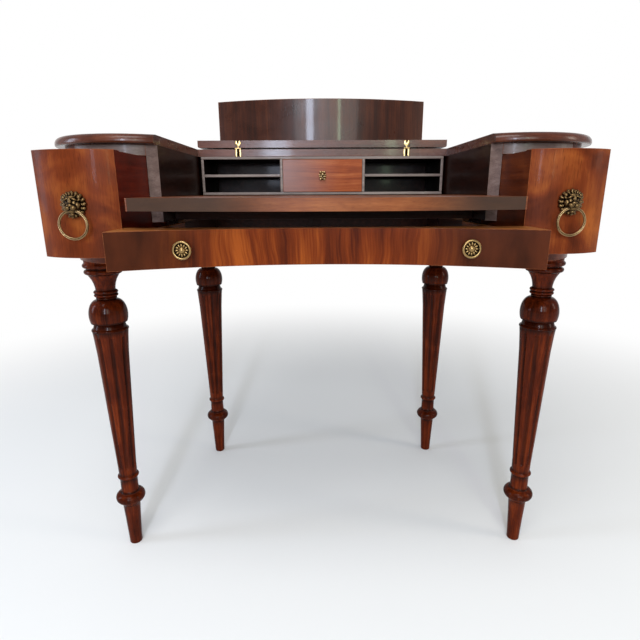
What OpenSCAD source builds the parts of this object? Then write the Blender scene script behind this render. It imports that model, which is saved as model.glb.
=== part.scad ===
// Kidney-shaped writing desk in mahogany. The middle of the top is a leaf that folds back over the
// pigeonholes, a writing slide pulls out under them, and there are a wide shallow drawer, a deep curved
// drawer in each lobe, a small drawer among the pigeonholes, and four turned and fluted legs.
// X runs to the right, Y to the back and Z up. The floor is z = 0.

/* [Top] */
// Width across both lobes of the top
top_w = 988; // [964:1:1024]
// Depth from the front of the lobes to the straight back edge
top_d = 518; // [510:1:540]
// Height of the top above the floor
top_h = 838; // [800:1:870]
// Thickness of the top and of its hinged leaf
top_t = 16; // [14:1:20]
// Plan radius round the front of each lobe
lobe_r = 139.7; // [134:0.1:146]
// Width of each lobe, from its side to the leaf's place
lobe_w = 209; // [204:1:218]
// Plan radius of each rear corner
corner_r = 90; // [80:1:100]
// Distance from each side to where the back edge starts to round
corner_in = 204.9; // [192:0.1:214]
// How far the middle of the front is hollowed in behind the lobes
hollow_d = 56; // [40:1:60]
// How far the top stands out past the case
overhang = 16; // [12:1:20]
// Width of the rounding along the upper edge
mould_w = 12; // [8:1:14]
// Height of that rounding
mould_h = 11; // [8:1:12]
// Width of the small rounding along the lower edge
mould_low = 3; // [1:0.5:3]

/* [Leaf and its hinges] */
// Gap between each end of the hinged leaf and the lobes
leaf_gap = 0.5; // [0.4:0.1:2]
// Distance from the front of the lobes to the hinge line
hinge_y = 329; // [322:1:340]
// Gap between the leaf and the top when the leaf lies folded back
fold_gap = 3; // [2.4:0.2:4]
// How far the leaf is turned back from closed
leaf_angle = 180; // [0:1:180]
// Rounding of the leaf's two ends
leaf_round = 4; // [2:0.5:6]
// Gap between the curved fascia and the wide drawer when the leaf is closed
fascia_gap = 3; // [2:0.5:10]
// Thickness of the fascia
fascia_t = 16; // [12:1:17]
// Distance from the middle of the desk to each hinge
hinge_x = 193; // [150:1:230]
// Width of a hinge plate
plate_w = 13; // [11:1:16]
// Thickness of a hinge plate
plate_t = 2; // [1.5:0.1:3]
// Radius of a hinge knuckle
knuckle_r = 1.45; // [1.3:0.05:1.5]
// Radius of a hinge pin
pin_r = 0.7; // [0.6:0.05:0.9]

/* [Case] */
// Thickness of the inner walls
wall_t = 17; // [14:1:18]
// Thickness of the bent side shells
shell_t = 16; // [12:1:18]
// Thickness of the back panel
back_t = 16; // [12:1:18]
// Height of the curved rail over each lobe drawer
top_rail_h = 18; // [14:1:22]
// Height of the curved rail under each lobe drawer
low_rail_h = 28; // [24:1:32]
// Depth of those rails from front to back
rail_d = 18; // [16:1:20]
// Thickness of the floor boards
floor_t = 12; // [9:1:14]
// Thickness of the bed board that the writing slide runs on
bed_t = 6; // [5:0.5:8]
// Depth of the straight rail over the wide drawer
drawer_rail_d = 20; // [16:1:26]
// Height of that rail
drawer_rail_h = 19.1; // [14:0.1:24]
// Thickness of the cross rail under the wide drawer
cross_rail_h = 12; // [10:1:13]
// Width of the runners and kickers
runner_w = 12; // [10:1:16]
// Height of the kickers over the wide drawer
kicker_h = 8; // [6:1:12]
// Width of the cross rail under the wide drawer
cross_rail_w = 40; // [30:1:60]

/* [Pigeonholes] */
// Height of the pigeonhole case
gallery_h = 85; // [80:1:90]
// Gap between each end of it and the inner wall
gallery_gap = 6; // [1:0.5:12]
// Thickness of its boards
gallery_t = 6; // [5:0.5:8]
// Clear width between its two dividers
bay_w = 184; // [160:1:200]
// Height of each shelf above the gallery floor
shelf_z = 34; // [28:1:40]
// How far the small drawer stands forward of the pigeonholes
small_proud = 2; // [0:0.5:3]
// Gap between the back of the small drawer and the back panel
small_gap = 11; // [1:1:40]
// Thickness of the small drawer's front
small_front_t = 10; // [8:1:14]

/* [Writing slide] */
// Thickness of the writing slide
slide_t = 18; // [16:0.5:20]
// Gap between the slide and each inner wall
slide_gap = 1; // [0.5:0.1:3]
// How far its front edge bows forward in the middle
slide_bow = 34; // [20:1:36]
// Rounding of its front corners
slide_round = 6; // [3:1:10]
// How far the slide is drawn out from closed
slide_out = 280; // [0:1:284]
// Length of the ears that run in the wall grooves
ear_l = 120; // [80:1:160]
// Height of those ears
ear_h = 8; // [6:0.5:10]
// How far the ears stand out
ear_w = 6; // [4:0.5:8]

/* [Wide drawer] */
// Height of the wide drawer's front
wide_h = 54; // [50:1:55]
// Height of its lower edge above the underside of the case
wide_lift = 17; // [16:1:20]
// Height of its sides
wide_side_h = 46; // [40:1:50]
// Gap between its sides and the inner walls
wide_gap = 4; // [2:0.5:6]
// Thickness of its front at the middle
wide_t = 17; // [14:1:18]
// Length of its sides
wide_l = 230; // [220:1:340]
// Clear depth inside it
wide_in = 135; // [120:1:150]
// How far it is drawn out from closed
wide_out = 206; // [0:1:206]
// Distance from the middle of the desk to each knob
knob_x = 202.5; // [150:0.5:230]
// Radius of a knob's face
knob_r = 13.5; // [11:0.5:16]
// How far a knob stands out
knob_l = 20; // [16:1:26]

/* [Lobe drawers] */
// Distance from the side of the case to the edge of a lobe drawer
jamb_w = 52; // [49:0.5:60]
// Thickness of its curved front
lobe_front_t = 18; // [15:1:20]
// Length of a lobe drawer from front to back
lobe_l = 280; // [240:1:282]
// How far the left one is drawn out from closed
left_out = 134; // [0:1:215]
// How far the right one is drawn out from closed
right_out = 114; // [0:1:215]
// How far the sides of a lobe drawer stop below the top of its front
lobe_side_drop = 1.5; // [1:0.5:14]
// Thickness of drawer sides and backs
side_t = 8; // [7:0.5:10]
// Thickness of drawer bottoms
bottom_t = 5; // [4:0.5:6]

/* [Ring pulls] */
// Distance from the inner wall to the middle of a mask
mask_in = 60; // [54:1:66]
// Height of a mask's middle above the lower edge of the drawer front
mask_z = 78; // [70:1:85]
// Width of a mask
mask_w = 38; // [34:1:42]
// Radius of a ring at the middle of its bar
ring_r = 20; // [17:0.5:23]
// Radius of the ring's bar
ring_bar = 2; // [1.6:0.1:2.4]

/* [Legs] */
// Distance from the edge of a lobe to the middle of its front leg
front_leg_in = 46.75; // [44:0.01:57]
// Direction of that leg from the middle of the lobe, outwards from the front
front_leg_a = 43.26; // [33:0.01:50]
// Distance from the outer face of each inner wall to the rear leg
rear_leg_out = 5; // [0:1:24]
// Distance from the straight back edge to the rear legs
rear_leg_in = 63; // [60:1:75]
// Radius of the foot
foot_r = 12.7; // [11:0.1:14]
// Radius of the ball ring above the foot
ball_r = 29.5; // [26:0.5:31]
// Radius at the bottom of the fluted column
column_r0 = 18.2; // [17:0.1:19]
// Radius at the top of its straight taper
column_r1 = 29.3; // [27:0.1:30]
// Radius of the shoulder over the column
shoulder_r = 34; // [32:0.5:35]
// Radius of the dome over the shoulder
dome_r = 35.4; // [33:0.2:35.4]
// Number of flutes round a leg
flutes = 8; // [6:1:10]
// Radius of the flute cutter
flute_r = 6; // [5:0.2:6.4]
// Depth of a flute
flute_d = 2.8; // [2:0.2:3.4]
// Radius of the dowel at the top of a leg
dowel_r = 10; // [8:0.5:12]
// Length of that dowel
dowel_l = 24; // [16:1:28]
// Radius of the block that holds the dowel
block_r = 44; // [36:1:46]

/* [Hidden] */
$fn = 96;
ARC_STEPS = 24;
CLEAR = 0.3;
FIT = 0.05;
CUT = 1;

// Plan of the top, given by the centres of its arcs. The long arc of each side runs into both others
lobe_c = [top_w / 2 - lobe_r, lobe_r];
corner_c = [top_w / 2 - corner_in, top_d - corner_r];
corner_dy = corner_c.y - lobe_r;
side_r = (pow(corner_in, 2) + pow(corner_dy, 2) - pow(corner_r, 2)) / (2 * (corner_in - corner_r));
side_c = [top_w / 2 - side_r, lobe_r];
corner_a = atan2(corner_dy, corner_c.x - side_c.x);
well_w = top_w - 2 * lobe_w;
wall_x = well_w / 2;
wall_out = wall_x + wall_t;
leaf_w = well_w - 2 * leaf_gap;
gallery_w = well_w - 2 * gallery_gap;
wide_w = 2 * wall_out;
box_x = wall_x - wide_gap;
join_y = lobe_c.y - sqrt(pow(lobe_r, 2) - pow(lobe_c.x - wall_x, 2));
hollow_r = (pow(wall_x, 2) + pow(hollow_d, 2)) / (2 * hollow_d);
hollow_c = [0, join_y + hollow_d - hollow_r];

// Levels
under_top = top_h - top_t;
gallery_z = under_top - gallery_h;
slide_z = gallery_z - CLEAR - slide_t;
bed_top = slide_z - CLEAR;
wide_rail_z = bed_top - bed_t - drawer_rail_h;
wide_top = wide_rail_z - CLEAR;
wide_z = wide_top - wide_h;
case_z = wide_z - wide_lift;
case_h = under_top - case_z;
fascia_h = under_top - wide_top - fascia_gap;
leg_h = case_z;

// Heights in the turned leg. The foot is turned up from the floor and the head down from the case
column_z0 = 180;
column_z1 = leg_h - 182;
shoulder_z = leg_h - 146;
dome_z = leg_h - 105;
bell_z = leg_h - 56;
dome_in = 18;

low_rail_top = case_z + low_rail_h;
top_rail_z = under_top - top_rail_h;
box_z = wide_z + 2;
runner_z = case_z + cross_rail_h;

// Depths
case_back = top_d - overhang;
inside_back = case_back - back_t;
hollow_face = hollow_c.y + hollow_r + overhang;
fascia_in = hollow_face + fascia_t;
rail_y = fascia_in + 2;
wide_back_y = hollow_face + wide_t;
slide_mid = fascia_in + 2 * CLEAR;
slide_end = slide_mid + slide_bow;
slide_l = inside_back - CLEAR - slide_end;
leaf_axis_z = top_h + fold_gap / 2;
lobe_x0 = wall_out + CLEAR;
lobe_x1 = top_w / 2 - overhang - jamb_w;
lobe_drawer_z = low_rail_top + CLEAR;
lobe_drawer_h = top_rail_z - CLEAR - lobe_drawer_z;
lobe_side_top = lobe_drawer_z + lobe_drawer_h - lobe_side_drop;
lobe_rear = overhang + lobe_front_t + lobe_l;
mask_x = wall_out + mask_in;
mask_face_y = lobe_c.y - sqrt(pow(lobe_r - overhang, 2) - pow(mask_x - lobe_c.x, 2));
small_w = bay_w - 2 * CLEAR;
small_z = gallery_z + gallery_t + CLEAR;
small_h = gallery_h - 2 * gallery_t - 2 * CLEAR;
small_y = hinge_y - small_proud;
small_rear = inside_back - small_gap;
small_side_top = small_z + small_h - 4;
front_leg = lobe_c + (lobe_r - front_leg_in) * [sin(front_leg_a), -cos(front_leg_a)];
rear_leg = [wall_out + rear_leg_out, top_d - rear_leg_in];
front_y = wide_front_y(wide_w / 2) - wide_out;
rear_y = 2 * hinge_y - join_y;
mid_y = (front_y + rear_y) / 2;

// Points along an arc
function arc(c, r, a0, a1, n = ARC_STEPS) =
    [for (i = [0 : n]) c + r * [cos(a0 + (a1 - a0) * i / n), sin(a0 + (a1 - a0) * i / n)]];

// Front of the wide drawer at distance x from the middle
function wide_front_y(x) = hollow_c.y + sqrt(pow(hollow_r + overhang, 2) - pow(x, 2));

// Angle at which the lobe's arc, drawn in by d, crosses the line x
function lobe_angle(d, x) = -90 + asin((x - lobe_c.x) / (lobe_r - d));

function all_but_first(points) = [for (i = [1 : len(points) - 1]) points[i]];

// Outer edge of one lobe drawn in by d, from the line x round to the straight back
function lobe_edge(d, x) = concat(
    arc(lobe_c, lobe_r - d, lobe_angle(d, x), 0),
    all_but_first(arc(side_c, side_r - d, 0, corner_a)),
    all_but_first(arc(corner_c, corner_r - d, corner_a, 90)));

// The same, closed on the middle of the desk
function lobe_outline(d, x) = concat(lobe_edge(d, x), [[0, top_d - d]]);

// Rounded edge of a board, as pairs of how far it is drawn in and its height
edge_levels = concat(
    [for (a = [-90, -45, 0]) mould_low * [1 - cos(a), 1 + sin(a)]],
    [for (a = [0 : 15 : 90]) [mould_w * (1 - cos(a)), top_t - mould_h + mould_h * sin(a)]]);

// Triangles from one point of a ring to each next pair along it
function fan(hub, rim) = [for (i = [0 : len(rim) - 2]) [hub, rim[i], rim[i + 1]]];

// Solid through rings that have the same number of points, from the lowest to the highest. The triangles
// in cap close its lowest ring, and the highest one the other way round
module loft(rings, cap) {
    n = len(rings[0]);
    m = len(rings);
    polyhedron(
        points = [for (ring = rings) each ring],
        faces = concat(
            cap,
            [for (t = cap) [for (i = [2 : -1 : 0]) (m - 1) * n + t[i]]],
            [for (j = [0 : m - 2]) for (i = [0 : n - 1]) [j * n + i, (j + 1) * n + i, (j + 1) * n + (i + 1) % n]],
            [for (j = [0 : m - 2]) for (i = [0 : n - 1])
                [j * n + i, (j + 1) * n + (i + 1) % n, j * n + (i + 1) % n]]));
}

// Placing each moving part
module at_desk() {
    translate([0, -mid_y, 0]) children();
}

module at_leaf() {
    at_desk()
        translate([0, hinge_y, leaf_axis_z])
            rotate([-leaf_angle, 0, 0])
                translate([0, -hinge_y, -leaf_axis_z])
                    children();
}

module drawn(out) {
    at_desk() translate([0, -out, 0]) children();
}

// Mirrors what is drawn on the right over to the left when side is -1
module on_side(side) {
    mirror([side < 0 ? 1 : 0, 0, 0]) children();
}

module both_sides() {
    on_side(1) children();
    on_side(-1) children();
}

module block(x0, x1, y0, y1, z0, z1) {
    translate([x0, y0, z0]) cube([x1 - x0, y1 - y0, z1 - z0]);
}

// Bent board between two radii
module bent(c, r0, r1, a0, a1, z0, z1) {
    translate([c.x, c.y, z0])
        rotate([0, 0, a0])
            rotate_extrude(angle = a1 - a0, $fn = 180)
                translate([r0, 0]) square([r1 - r0, z1 - z0]);
}

// Kidney outline of the fixed top, drawn in by d all round but for the straight sides of the leaf's place
function top_outline(d) =
    let (edge = lobe_edge(d, wall_x))
    concat(
        edge,
        [for (i = [1 : len(edge)]) let (p = edge[len(edge) - i]) [-p.x, p.y]],
        [[-wall_x, hinge_y + CLEAR]],
        hinge_seats(1, hinge_y + CLEAR, hinge_y + CLEAR + plate_t + FIT),
        [[wall_x, hinge_y + CLEAR]]);

// Flat faces of the fixed top: a fan over each lobe, and the strip with the hinge seats between them
function top_cap(e) = concat(
    fan(2 * e + 9, [for (i = [0 : e - 1]) i]),
    fan(2 * e, [for (i = [e : 2 * e - 1]) i]),
    fan(e, [2 * e, 2 * e + 1, 2 * e + 2]),
    fan(e - 1, [e, 2 * e + 2, 2 * e + 3, 2 * e + 4, 2 * e + 6, 2 * e + 7, 2 * e + 8, 2 * e + 9]),
    [[2 * e + 4, 2 * e + 5, 2 * e + 6]]);

// Top of the lobes and the back, one board cut out for the leaf
module case_top() color("#5a2b1c") at_desk()
    translate([0, 0, under_top])
        loft([for (e = edge_levels) [for (p = top_outline(e[0])) [p.x, p.y, e[1]]]],
            top_cap(len(lobe_edge(0, wall_x))));

// Notches for the two hinge plates in the edge of a board, from y0 to y1, passed from left to right or back
function hinge_seats(way, y0, y1) =
    let (half = plate_w / 2 + FIT)
    [for (c = [-hinge_x, hinge_x])
        each [[way * (c - half), y0], [way * (c - half), y1], [way * (c + half), y1], [way * (c + half), y0]]];

// Wall beside the well, grooved for the slide's ears and notched over the wide drawer's front
module inner_wall(side) color("#4a2216") at_desk() on_side(side) difference() {
    block(wall_x, wall_out, 0, inside_back, case_z, under_top);
    translate([lobe_c.x, lobe_c.y, case_z - CUT]) difference() {
        translate([-wall_x, -lobe_r - wall_x, 0]) cube([2 * wall_x, lobe_r + wall_x, case_h + 2 * CUT]);
        cylinder(r = lobe_r - overhang, h = case_h + 3 * CUT, $fn = 180);
    }
    block(wall_x - CUT, wall_out + CUT, -CUT, wide_back_y + CLEAR, wide_z - CLEAR, wide_rail_z);
    block(wall_x - CUT, wall_x + ear_w + CLEAR, slide_end + slide_l - ear_l - slide_out - 2 * CLEAR,
        inside_back + CUT, slide_z + slide_t / 2 - ear_h / 2 - CLEAR, slide_z + slide_t / 2 + ear_h / 2 + CLEAR);
    translate([rear_leg.x, rear_leg.y, case_z - CUT]) cylinder(r = dowel_r + FIT, h = dowel_l + 2 * CUT);
}

// Side of a lobe, bent in one sheet from the drawer opening round to the back
module side_shell(side) color("#6b3220") at_desk() on_side(side)
    translate([0, 0, case_z]) linear_extrude(case_h) difference() {
        polygon(lobe_outline(overhang, wall_x));
        polygon(lobe_outline(overhang + shell_t, wall_x - CUT));
        square([corner_c.x, top_d]);
        square([wall_out, inside_back]);
        square([lobe_x1 + CLEAR, lobe_c.y]);
    }

module back_panel() color("#5a2b1c") at_desk()
    block(-corner_c.x, corner_c.x, inside_back, case_back, case_z, under_top);

// Curved rail between the inner wall and the side shell
module lobe_rail(side, z0, z1) {
    at_desk() on_side(side) intersection() {
        bent(lobe_c, lobe_r - overhang - rail_d, lobe_r - overhang, -130, -38, z0, z1);
        block(wall_out, lobe_x1 + CLEAR, -CUT, lobe_c.y, z0, z1);
    }
}

// Plan of the floor of a lobe, inside the shell and behind the rail
module floor_plan() {
    intersection() {
        difference() {
            polygon(lobe_outline(overhang + shell_t, wall_x - CUT));
            intersection() {
                square([lobe_x1 + CLEAR, lobe_c.y]);
                difference() {
                    translate(lobe_c - [lobe_r, lobe_r]) square(2 * lobe_r);
                    translate(lobe_c) circle(r = lobe_r - overhang - rail_d, $fn = 180);
                }
            }
        }
        translate([wall_out, 0]) square([top_w, inside_back]);
    }
}

// Boards that close each lobe below the drawer
module lobe_floor(side) color("#7a4a30") at_desk() on_side(side)
    translate([0, 0, low_rail_top - floor_t]) linear_extrude(floor_t) difference() {
        floor_plan();
        leg_dowel_holes();
    }

module leg_dowel_holes() {
    for (p = [front_leg, rear_leg])
        translate(p) circle(r = dowel_r + FIT);
}

// Blocks under the floors that take the leg dowels
module leg_blocks() color("#7a4a30") at_desk() both_sides()
    translate([0, 0, case_z]) linear_extrude(low_rail_h - floor_t)
        for (p = [front_leg, rear_leg])
            intersection() {
                difference() {
                    translate(p) circle(r = block_r);
                    leg_dowel_holes();
                }
                floor_plan();
            }

// Straight rail over the wide drawer
module drawer_rail() color("#3c1c12") at_desk()
    block(-wall_x, wall_x, rail_y, rail_y + drawer_rail_d, wide_rail_z, bed_top - bed_t);

// Fixed board that the writing slide runs on
module bed_board() color("#3c1c12") at_desk()
    block(-wall_x, wall_x, rail_y, inside_back, bed_top - bed_t, bed_top);

module wide_runners() color("#7a4a30") at_desk() both_sides()
    block(wall_x - runner_w, wall_x, wide_back_y + 2 * CLEAR, inside_back, runner_z, box_z - CLEAR);

module wide_kickers() color("#7a4a30") at_desk() both_sides()
    block(wall_x - runner_w, wall_x, rail_y + drawer_rail_d, inside_back,
        box_z + wide_side_h + CLEAR, box_z + wide_side_h + CLEAR + kicker_h);

// Rail that ties the two inner walls together under the wide drawer
module cross_rail() color("#4a2216") at_desk()
    block(-wall_x, wall_x, wide_back_y + 2 * CLEAR, wide_back_y + 2 * CLEAR + cross_rail_w, case_z, runner_z);

// Turned leg. The outline runs from the foot up to the dowel in the case
function leg_outline() = concat(
    [[0, 0]],
    arc([foot_r - 2, 2], 2, -90, 0, 3),
    [[column_r0 - 1.4, 84], [column_r0 - 0.6, 98], [column_r0 + 1.6, 100], [column_r0 + 1.6, 102.6]],
    arc([ball_r - 11.4, 115], 11.4, -80, 80, 10),
    [[column_r0 + 1.4, 127.6], [column_r0 + 1.4, 130], [column_r0 - 0.8, 132], [column_r0 - 0.8, 160]],
    arc([column_r0 - 0.6, 165], 3.6, -80, 80, 6),
    [[column_r0 - 0.6, 170], [column_r0 - 0.6, 173], [column_r0, 177], [column_r0, column_z0]],
    [[column_r1, column_z1], [shoulder_r - 2, shoulder_z]],
    arc([shoulder_r - 2.4, shoulder_z + 11.6], 2.4, -50, 60, 5),
    [[shoulder_r - 3.6, shoulder_z + 15.6], [28.4, dome_z - 18.6], [27, dome_z - 16.6], [27, dome_z - 14]],
    [for (i = [1 : 10]) [dome_in + (dome_r - dome_in) * cos(12 * i - 42), dome_z + 30 * sin(12 * i - 42)]],
    [[17.6, dome_z + 30.4]],
    arc([16.8, dome_z + 32.8], 2, -60, 60, 4),
    arc([19, dome_z + 38.4], 2.7, -80, 80, 5),
    arc([19.2, dome_z + 44.6], 2.8, -80, 70, 5),
    [[17.8, bell_z], [18.4, bell_z + 6], [20, bell_z + 13], [22.6, bell_z + 20], [26.4, bell_z + 26.5]],
    [[28.4, bell_z + 29.6]],
    arc([29.4, leg_h - 21], 4.6, -75, 75, 6),
    [[28.2, leg_h - 15.4], [28.2, leg_h - 13.4]],
    arc([31.2, leg_h - 9], 4.4, -70, 60, 5),
    [[32.4, leg_h - 4], [32.4, leg_h], [dowel_r, leg_h], [dowel_r, leg_h + dowel_l], [0, leg_h + dowel_l]]);

// Cutter for one flute, a capsule down the straight taper and another up to the shoulder
module flute_cutter() {
    reach = flute_r - flute_d;
    low = [column_r0 + (column_r1 - column_r0) * 10 / (column_z1 - column_z0) + reach, column_z0 + 10];
    mid = [column_r1 + reach, column_z1];
    high = [shoulder_r - 2 + reach, shoulder_z - 4];
    capsule(low, mid);
    capsule(mid, high);
}

// Cylinder with round ends, in the plane y = 0 from point p to point q
module capsule(p, q) {
    l = norm(q - p);
    translate([p.x, 0, p.y])
        rotate([0, atan2(q.x - p.x, q.y - p.y), 0])
            rotate_extrude($fn = 40)
                polygon(concat(
                    [for (i = [0 : 4]) flute_r * [cos(22.5 * i - 90), sin(22.5 * i - 90)]],
                    [for (i = [0 : 4]) [0, l] + flute_r * [cos(22.5 * i), sin(22.5 * i)]]));
}

module leg(side, place) color("#5c2415") at_desk() translate([side * place.x, place.y, 0]) difference() {
    rotate_extrude() polygon(leg_outline());
    for (i = [0 : flutes - 1])
        rotate([0, 0, 360 * (i + 0.5) / flutes]) flute_cutter();
}

// Pigeonholes
module gallery_board(x0, x1, z0, z1) {
    at_desk() block(x0, x1, hinge_y, inside_back, z0, z1);
}

module gallery_top() color("#6e5146")
    gallery_board(-gallery_w / 2, gallery_w / 2, under_top - gallery_t, under_top);

module gallery_floor() color("#6e5146")
    gallery_board(-gallery_w / 2, gallery_w / 2, gallery_z, gallery_z + gallery_t);

module gallery_side(side) color("#6e5146") on_side(side)
    gallery_board(gallery_w / 2 - gallery_t, gallery_w / 2, gallery_z + gallery_t, under_top - gallery_t);

module gallery_dividers() color("#6e5146") both_sides()
    gallery_board(bay_w / 2, bay_w / 2 + gallery_t, gallery_z + gallery_t, under_top - gallery_t);

module gallery_shelves() color("#6e5146") both_sides()
    gallery_board(bay_w / 2 + gallery_t, gallery_w / 2 - gallery_t,
        gallery_z + gallery_t + shelf_z, gallery_z + gallery_t + shelf_z + gallery_t);

// Hinges. Each has a plate in the edge of the top, a plate in the edge of the leaf, and a pin
module knuckle(x0, x1) {
    difference() {
        translate([x0, hinge_y, leaf_axis_z]) rotate([0, 90, 0]) cylinder(r = knuckle_r, h = x1 - x0, $fn = 32);
        translate([x0 - CUT, hinge_y, leaf_axis_z])
            rotate([0, 90, 0])
                cylinder(r = pin_r + FIT, h = x1 - x0 + 2 * CUT, $fn = 32);
    }
}

// The top's plate is forked, with a knuckle on each prong
module hinge_base_plates() color("#c9a763") at_desk() both_sides() {
    prong = plate_w * 0.3;
    for (s = [0, 1])
        translate([s * (plate_w - prong), 0, 0]) {
            x0 = hinge_x - plate_w / 2;
            difference() {
                block(x0, x0 + prong, hinge_y + CLEAR, hinge_y + CLEAR + plate_t, under_top, leaf_axis_z);
                translate([x0 - CUT, hinge_y, leaf_axis_z])
                    rotate([0, 90, 0])
                        cylinder(r = pin_r + FIT, h = prong + 2 * CUT, $fn = 32);
            }
            knuckle(x0, x0 + prong);
        }
    block(hinge_x - plate_w / 2, hinge_x + plate_w / 2, hinge_y + CLEAR, hinge_y + CLEAR + plate_t,
        under_top, under_top + top_t / 4);
}

// The leaf's plate spreads from one middle knuckle
module hinge_leaf_plates() color("#c9a763") at_leaf() both_sides() {
    prong = plate_w * 0.3;
    tongue = plate_w - 2 * prong - 2 * CLEAR;
    x0 = hinge_x - tongue / 2;
    difference() {
        union() {
            block(x0, x0 + tongue, hinge_y - CLEAR - plate_t, hinge_y - CLEAR, under_top, leaf_axis_z);
            block(hinge_x - plate_w / 2, hinge_x + plate_w / 2, hinge_y - CLEAR - plate_t, hinge_y - CLEAR,
                under_top, under_top + top_t / 2);
        }
        translate([x0 - CUT, hinge_y, leaf_axis_z])
            rotate([0, 90, 0])
                cylinder(r = pin_r + FIT, h = tongue + 2 * CUT, $fn = 32);
    }
    knuckle(x0, x0 + tongue);
}

module hinge_pins() color("#b08d4c") at_desk() both_sides()
    translate([hinge_x - plate_w / 2, hinge_y, leaf_axis_z])
        rotate([0, 90, 0])
            cylinder(r = pin_r, h = plate_w, $fn = 32);

// Half the leaf's width at height z, less where its upper end corners are rounded
function leaf_half(z) =
    leaf_w / 2 - leaf_round + sqrt(pow(leaf_round, 2) - pow(max(0, z - top_t + leaf_round), 2));

// Outline of the leaf with its hollow front drawn in by d
function leaf_outline(d, half) = concat(
    arc(hollow_c, hollow_r + d, 90 + asin(half / (hollow_r + d)), 90 - asin(half / (hollow_r + d))),
    [[half, hinge_y - CLEAR]],
    hinge_seats(-1, hinge_y - CLEAR, hinge_y - CLEAR - plate_t - FIT),
    [[-half, hinge_y - CLEAR]]);

// Flat faces of the leaf: a fan over its hollow front, and the parts beside the hinge seats
function leaf_cap(k) = concat(
    fan(k + 4, [for (i = [0 : k]) i]),
    fan(k, [k + 1, k + 2, k + 3, k + 4]),
    fan(k + 4, [k + 5, k + 6, k + 7]),
    fan(0, [k + 4, k + 7, k + 8, k + 9, k + 10]));

// Leaf, drawn closed and then turned back about the hinge pins
module leaf() color("#5f2f1f") at_leaf()
    translate([0, 0, under_top])
        loft([for (e = edge_levels) [for (p = leaf_outline(e[0], leaf_half(e[1]))) [p.x, p.y, e[1]]]],
            leaf_cap(ARC_STEPS));

// Curved board glued under the leaf's front edge
module fascia() color("#4a2013") at_leaf() intersection() {
    bent(hollow_c, hollow_r + overhang, hollow_r + overhang + fascia_t, 60, 120, under_top - fascia_h, under_top);
    block(-leaf_w / 2, leaf_w / 2, -top_d, top_d, under_top - fascia_h - CUT, under_top);
}

// Writing slide with a bowed front edge and an ear along each side at the back
module writing_slide() color("#7a4630") drawn(slide_out) {
    half = wall_x - slide_gap;
    bow_r = (pow(half, 2) + pow(slide_bow, 2)) / (2 * slide_bow);
    translate([0, 0, slide_z]) linear_extrude(slide_t) intersection() {
        union() {
            translate([-half, slide_end + slide_round]) square([2 * half, slide_l - slide_round]);
            translate([-half + slide_round, slide_mid]) square([2 * half - 2 * slide_round, slide_l]);
            for (s = [-1, 1])
                translate([s * (half - slide_round), slide_end + slide_round]) circle(r = slide_round, $fn = 48);
        }
        translate([0, slide_mid + bow_r]) circle(r = bow_r, $fn = 360);
    }
    both_sides() {
        z0 = slide_z + slide_t / 2 - ear_h / 2;
        block(half - CUT, wall_x + ear_w, slide_end + slide_l - ear_l, slide_end + slide_l, z0, z0 + ear_h);
    }
}

// Wide drawer. Its front is sawn hollow from one thick board
module wide_front() color("#8a3f20") drawn(wide_out) translate([0, 0, wide_z]) linear_extrude(wide_h) difference() {
    translate([-wide_w / 2, 0]) square([wide_w, wide_back_y]);
    translate(hollow_c) circle(r = hollow_r + overhang, $fn = 360);
}

module wide_side(side) color("#6d2f1c") drawn(wide_out) on_side(side)
    block(box_x - side_t, box_x, wide_back_y, wide_back_y + wide_l, box_z, box_z + wide_side_h);

module wide_back() color("#6d2f1c") drawn(wide_out)
    block(-box_x + side_t, box_x - side_t, wide_back_y + wide_in, wide_back_y + wide_in + side_t,
        box_z, box_z + wide_side_h - 4);

module wide_bottom() color("#8a6248") drawn(wide_out)
    block(-box_x + side_t, box_x - side_t, wide_back_y, wide_back_y + wide_in, box_z, box_z + bottom_t);

// Brass knob with a rim, a flower of petals and a centre button
module knob() {
    rotate([90, 0, 0]) {
        rotate_extrude() polygon(concat(
            [[0, 0], [8.4, 0], [8.4, 1.6], [6.8, 2.6], [4.6, 4.6], [4.2, 8], [6, knob_l - 8.4]],
            [[knob_r - 1.6, knob_l - 6]],
            arc([knob_r - 1.8, knob_l - 4.2], 1.8, -60, 130, 6),
            [[knob_r - 3.4, knob_l - 3.8], [5, knob_l - 4.2], [4, knob_l - 3.4]],
            arc([0, knob_l - 5.6], 5.2, 22, 90, 4)));
        for (i = [0 : 11])
            rotate([0, 0, 30 * i])
                translate([(knob_r - 3.4 + 4.4) / 2 + 0.6, 0, knob_l - 4.6]) sphere(r = 1.7, $fn = 20);
    }
}

// The shank of each knob runs back to the hollow face of the drawer front
module wide_knobs() color("#b39a66") drawn(wide_out) intersection() {
    both_sides() translate([knob_x, wide_front_y(knob_x), wide_z + wide_h / 2]) {
        knob();
        rotate([-90, 0, 0]) cylinder(r = 8.4, h = 6);
    }
    translate([hollow_c.x, hollow_c.y, wide_z]) cylinder(r = hollow_r + overhang, h = wide_h, $fn = 360);
}

// Lobe drawers
module lobe_front(side, out) color("#8f4422") drawn(out) on_side(side) intersection() {
    bent(lobe_c, lobe_r - overhang - lobe_front_t, lobe_r - overhang, -130, -38,
        lobe_drawer_z, lobe_drawer_z + lobe_drawer_h);
    block(lobe_x0, lobe_x1, -CUT, lobe_c.y, lobe_drawer_z, lobe_drawer_z + lobe_drawer_h);
}

// Takes away what lies in or before the curved front
module behind_front() {
    difference() {
        children();
        translate([lobe_c.x, lobe_c.y, case_z]) difference() {
            translate([-2 * lobe_r, -2 * lobe_r, 0]) cube([4 * lobe_r, 2 * lobe_r, case_h]);
            translate([0, 0, -CUT]) cylinder(r = lobe_r - overhang - lobe_front_t, h = case_h + 2 * CUT, $fn = 180);
        }
    }
}

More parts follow.
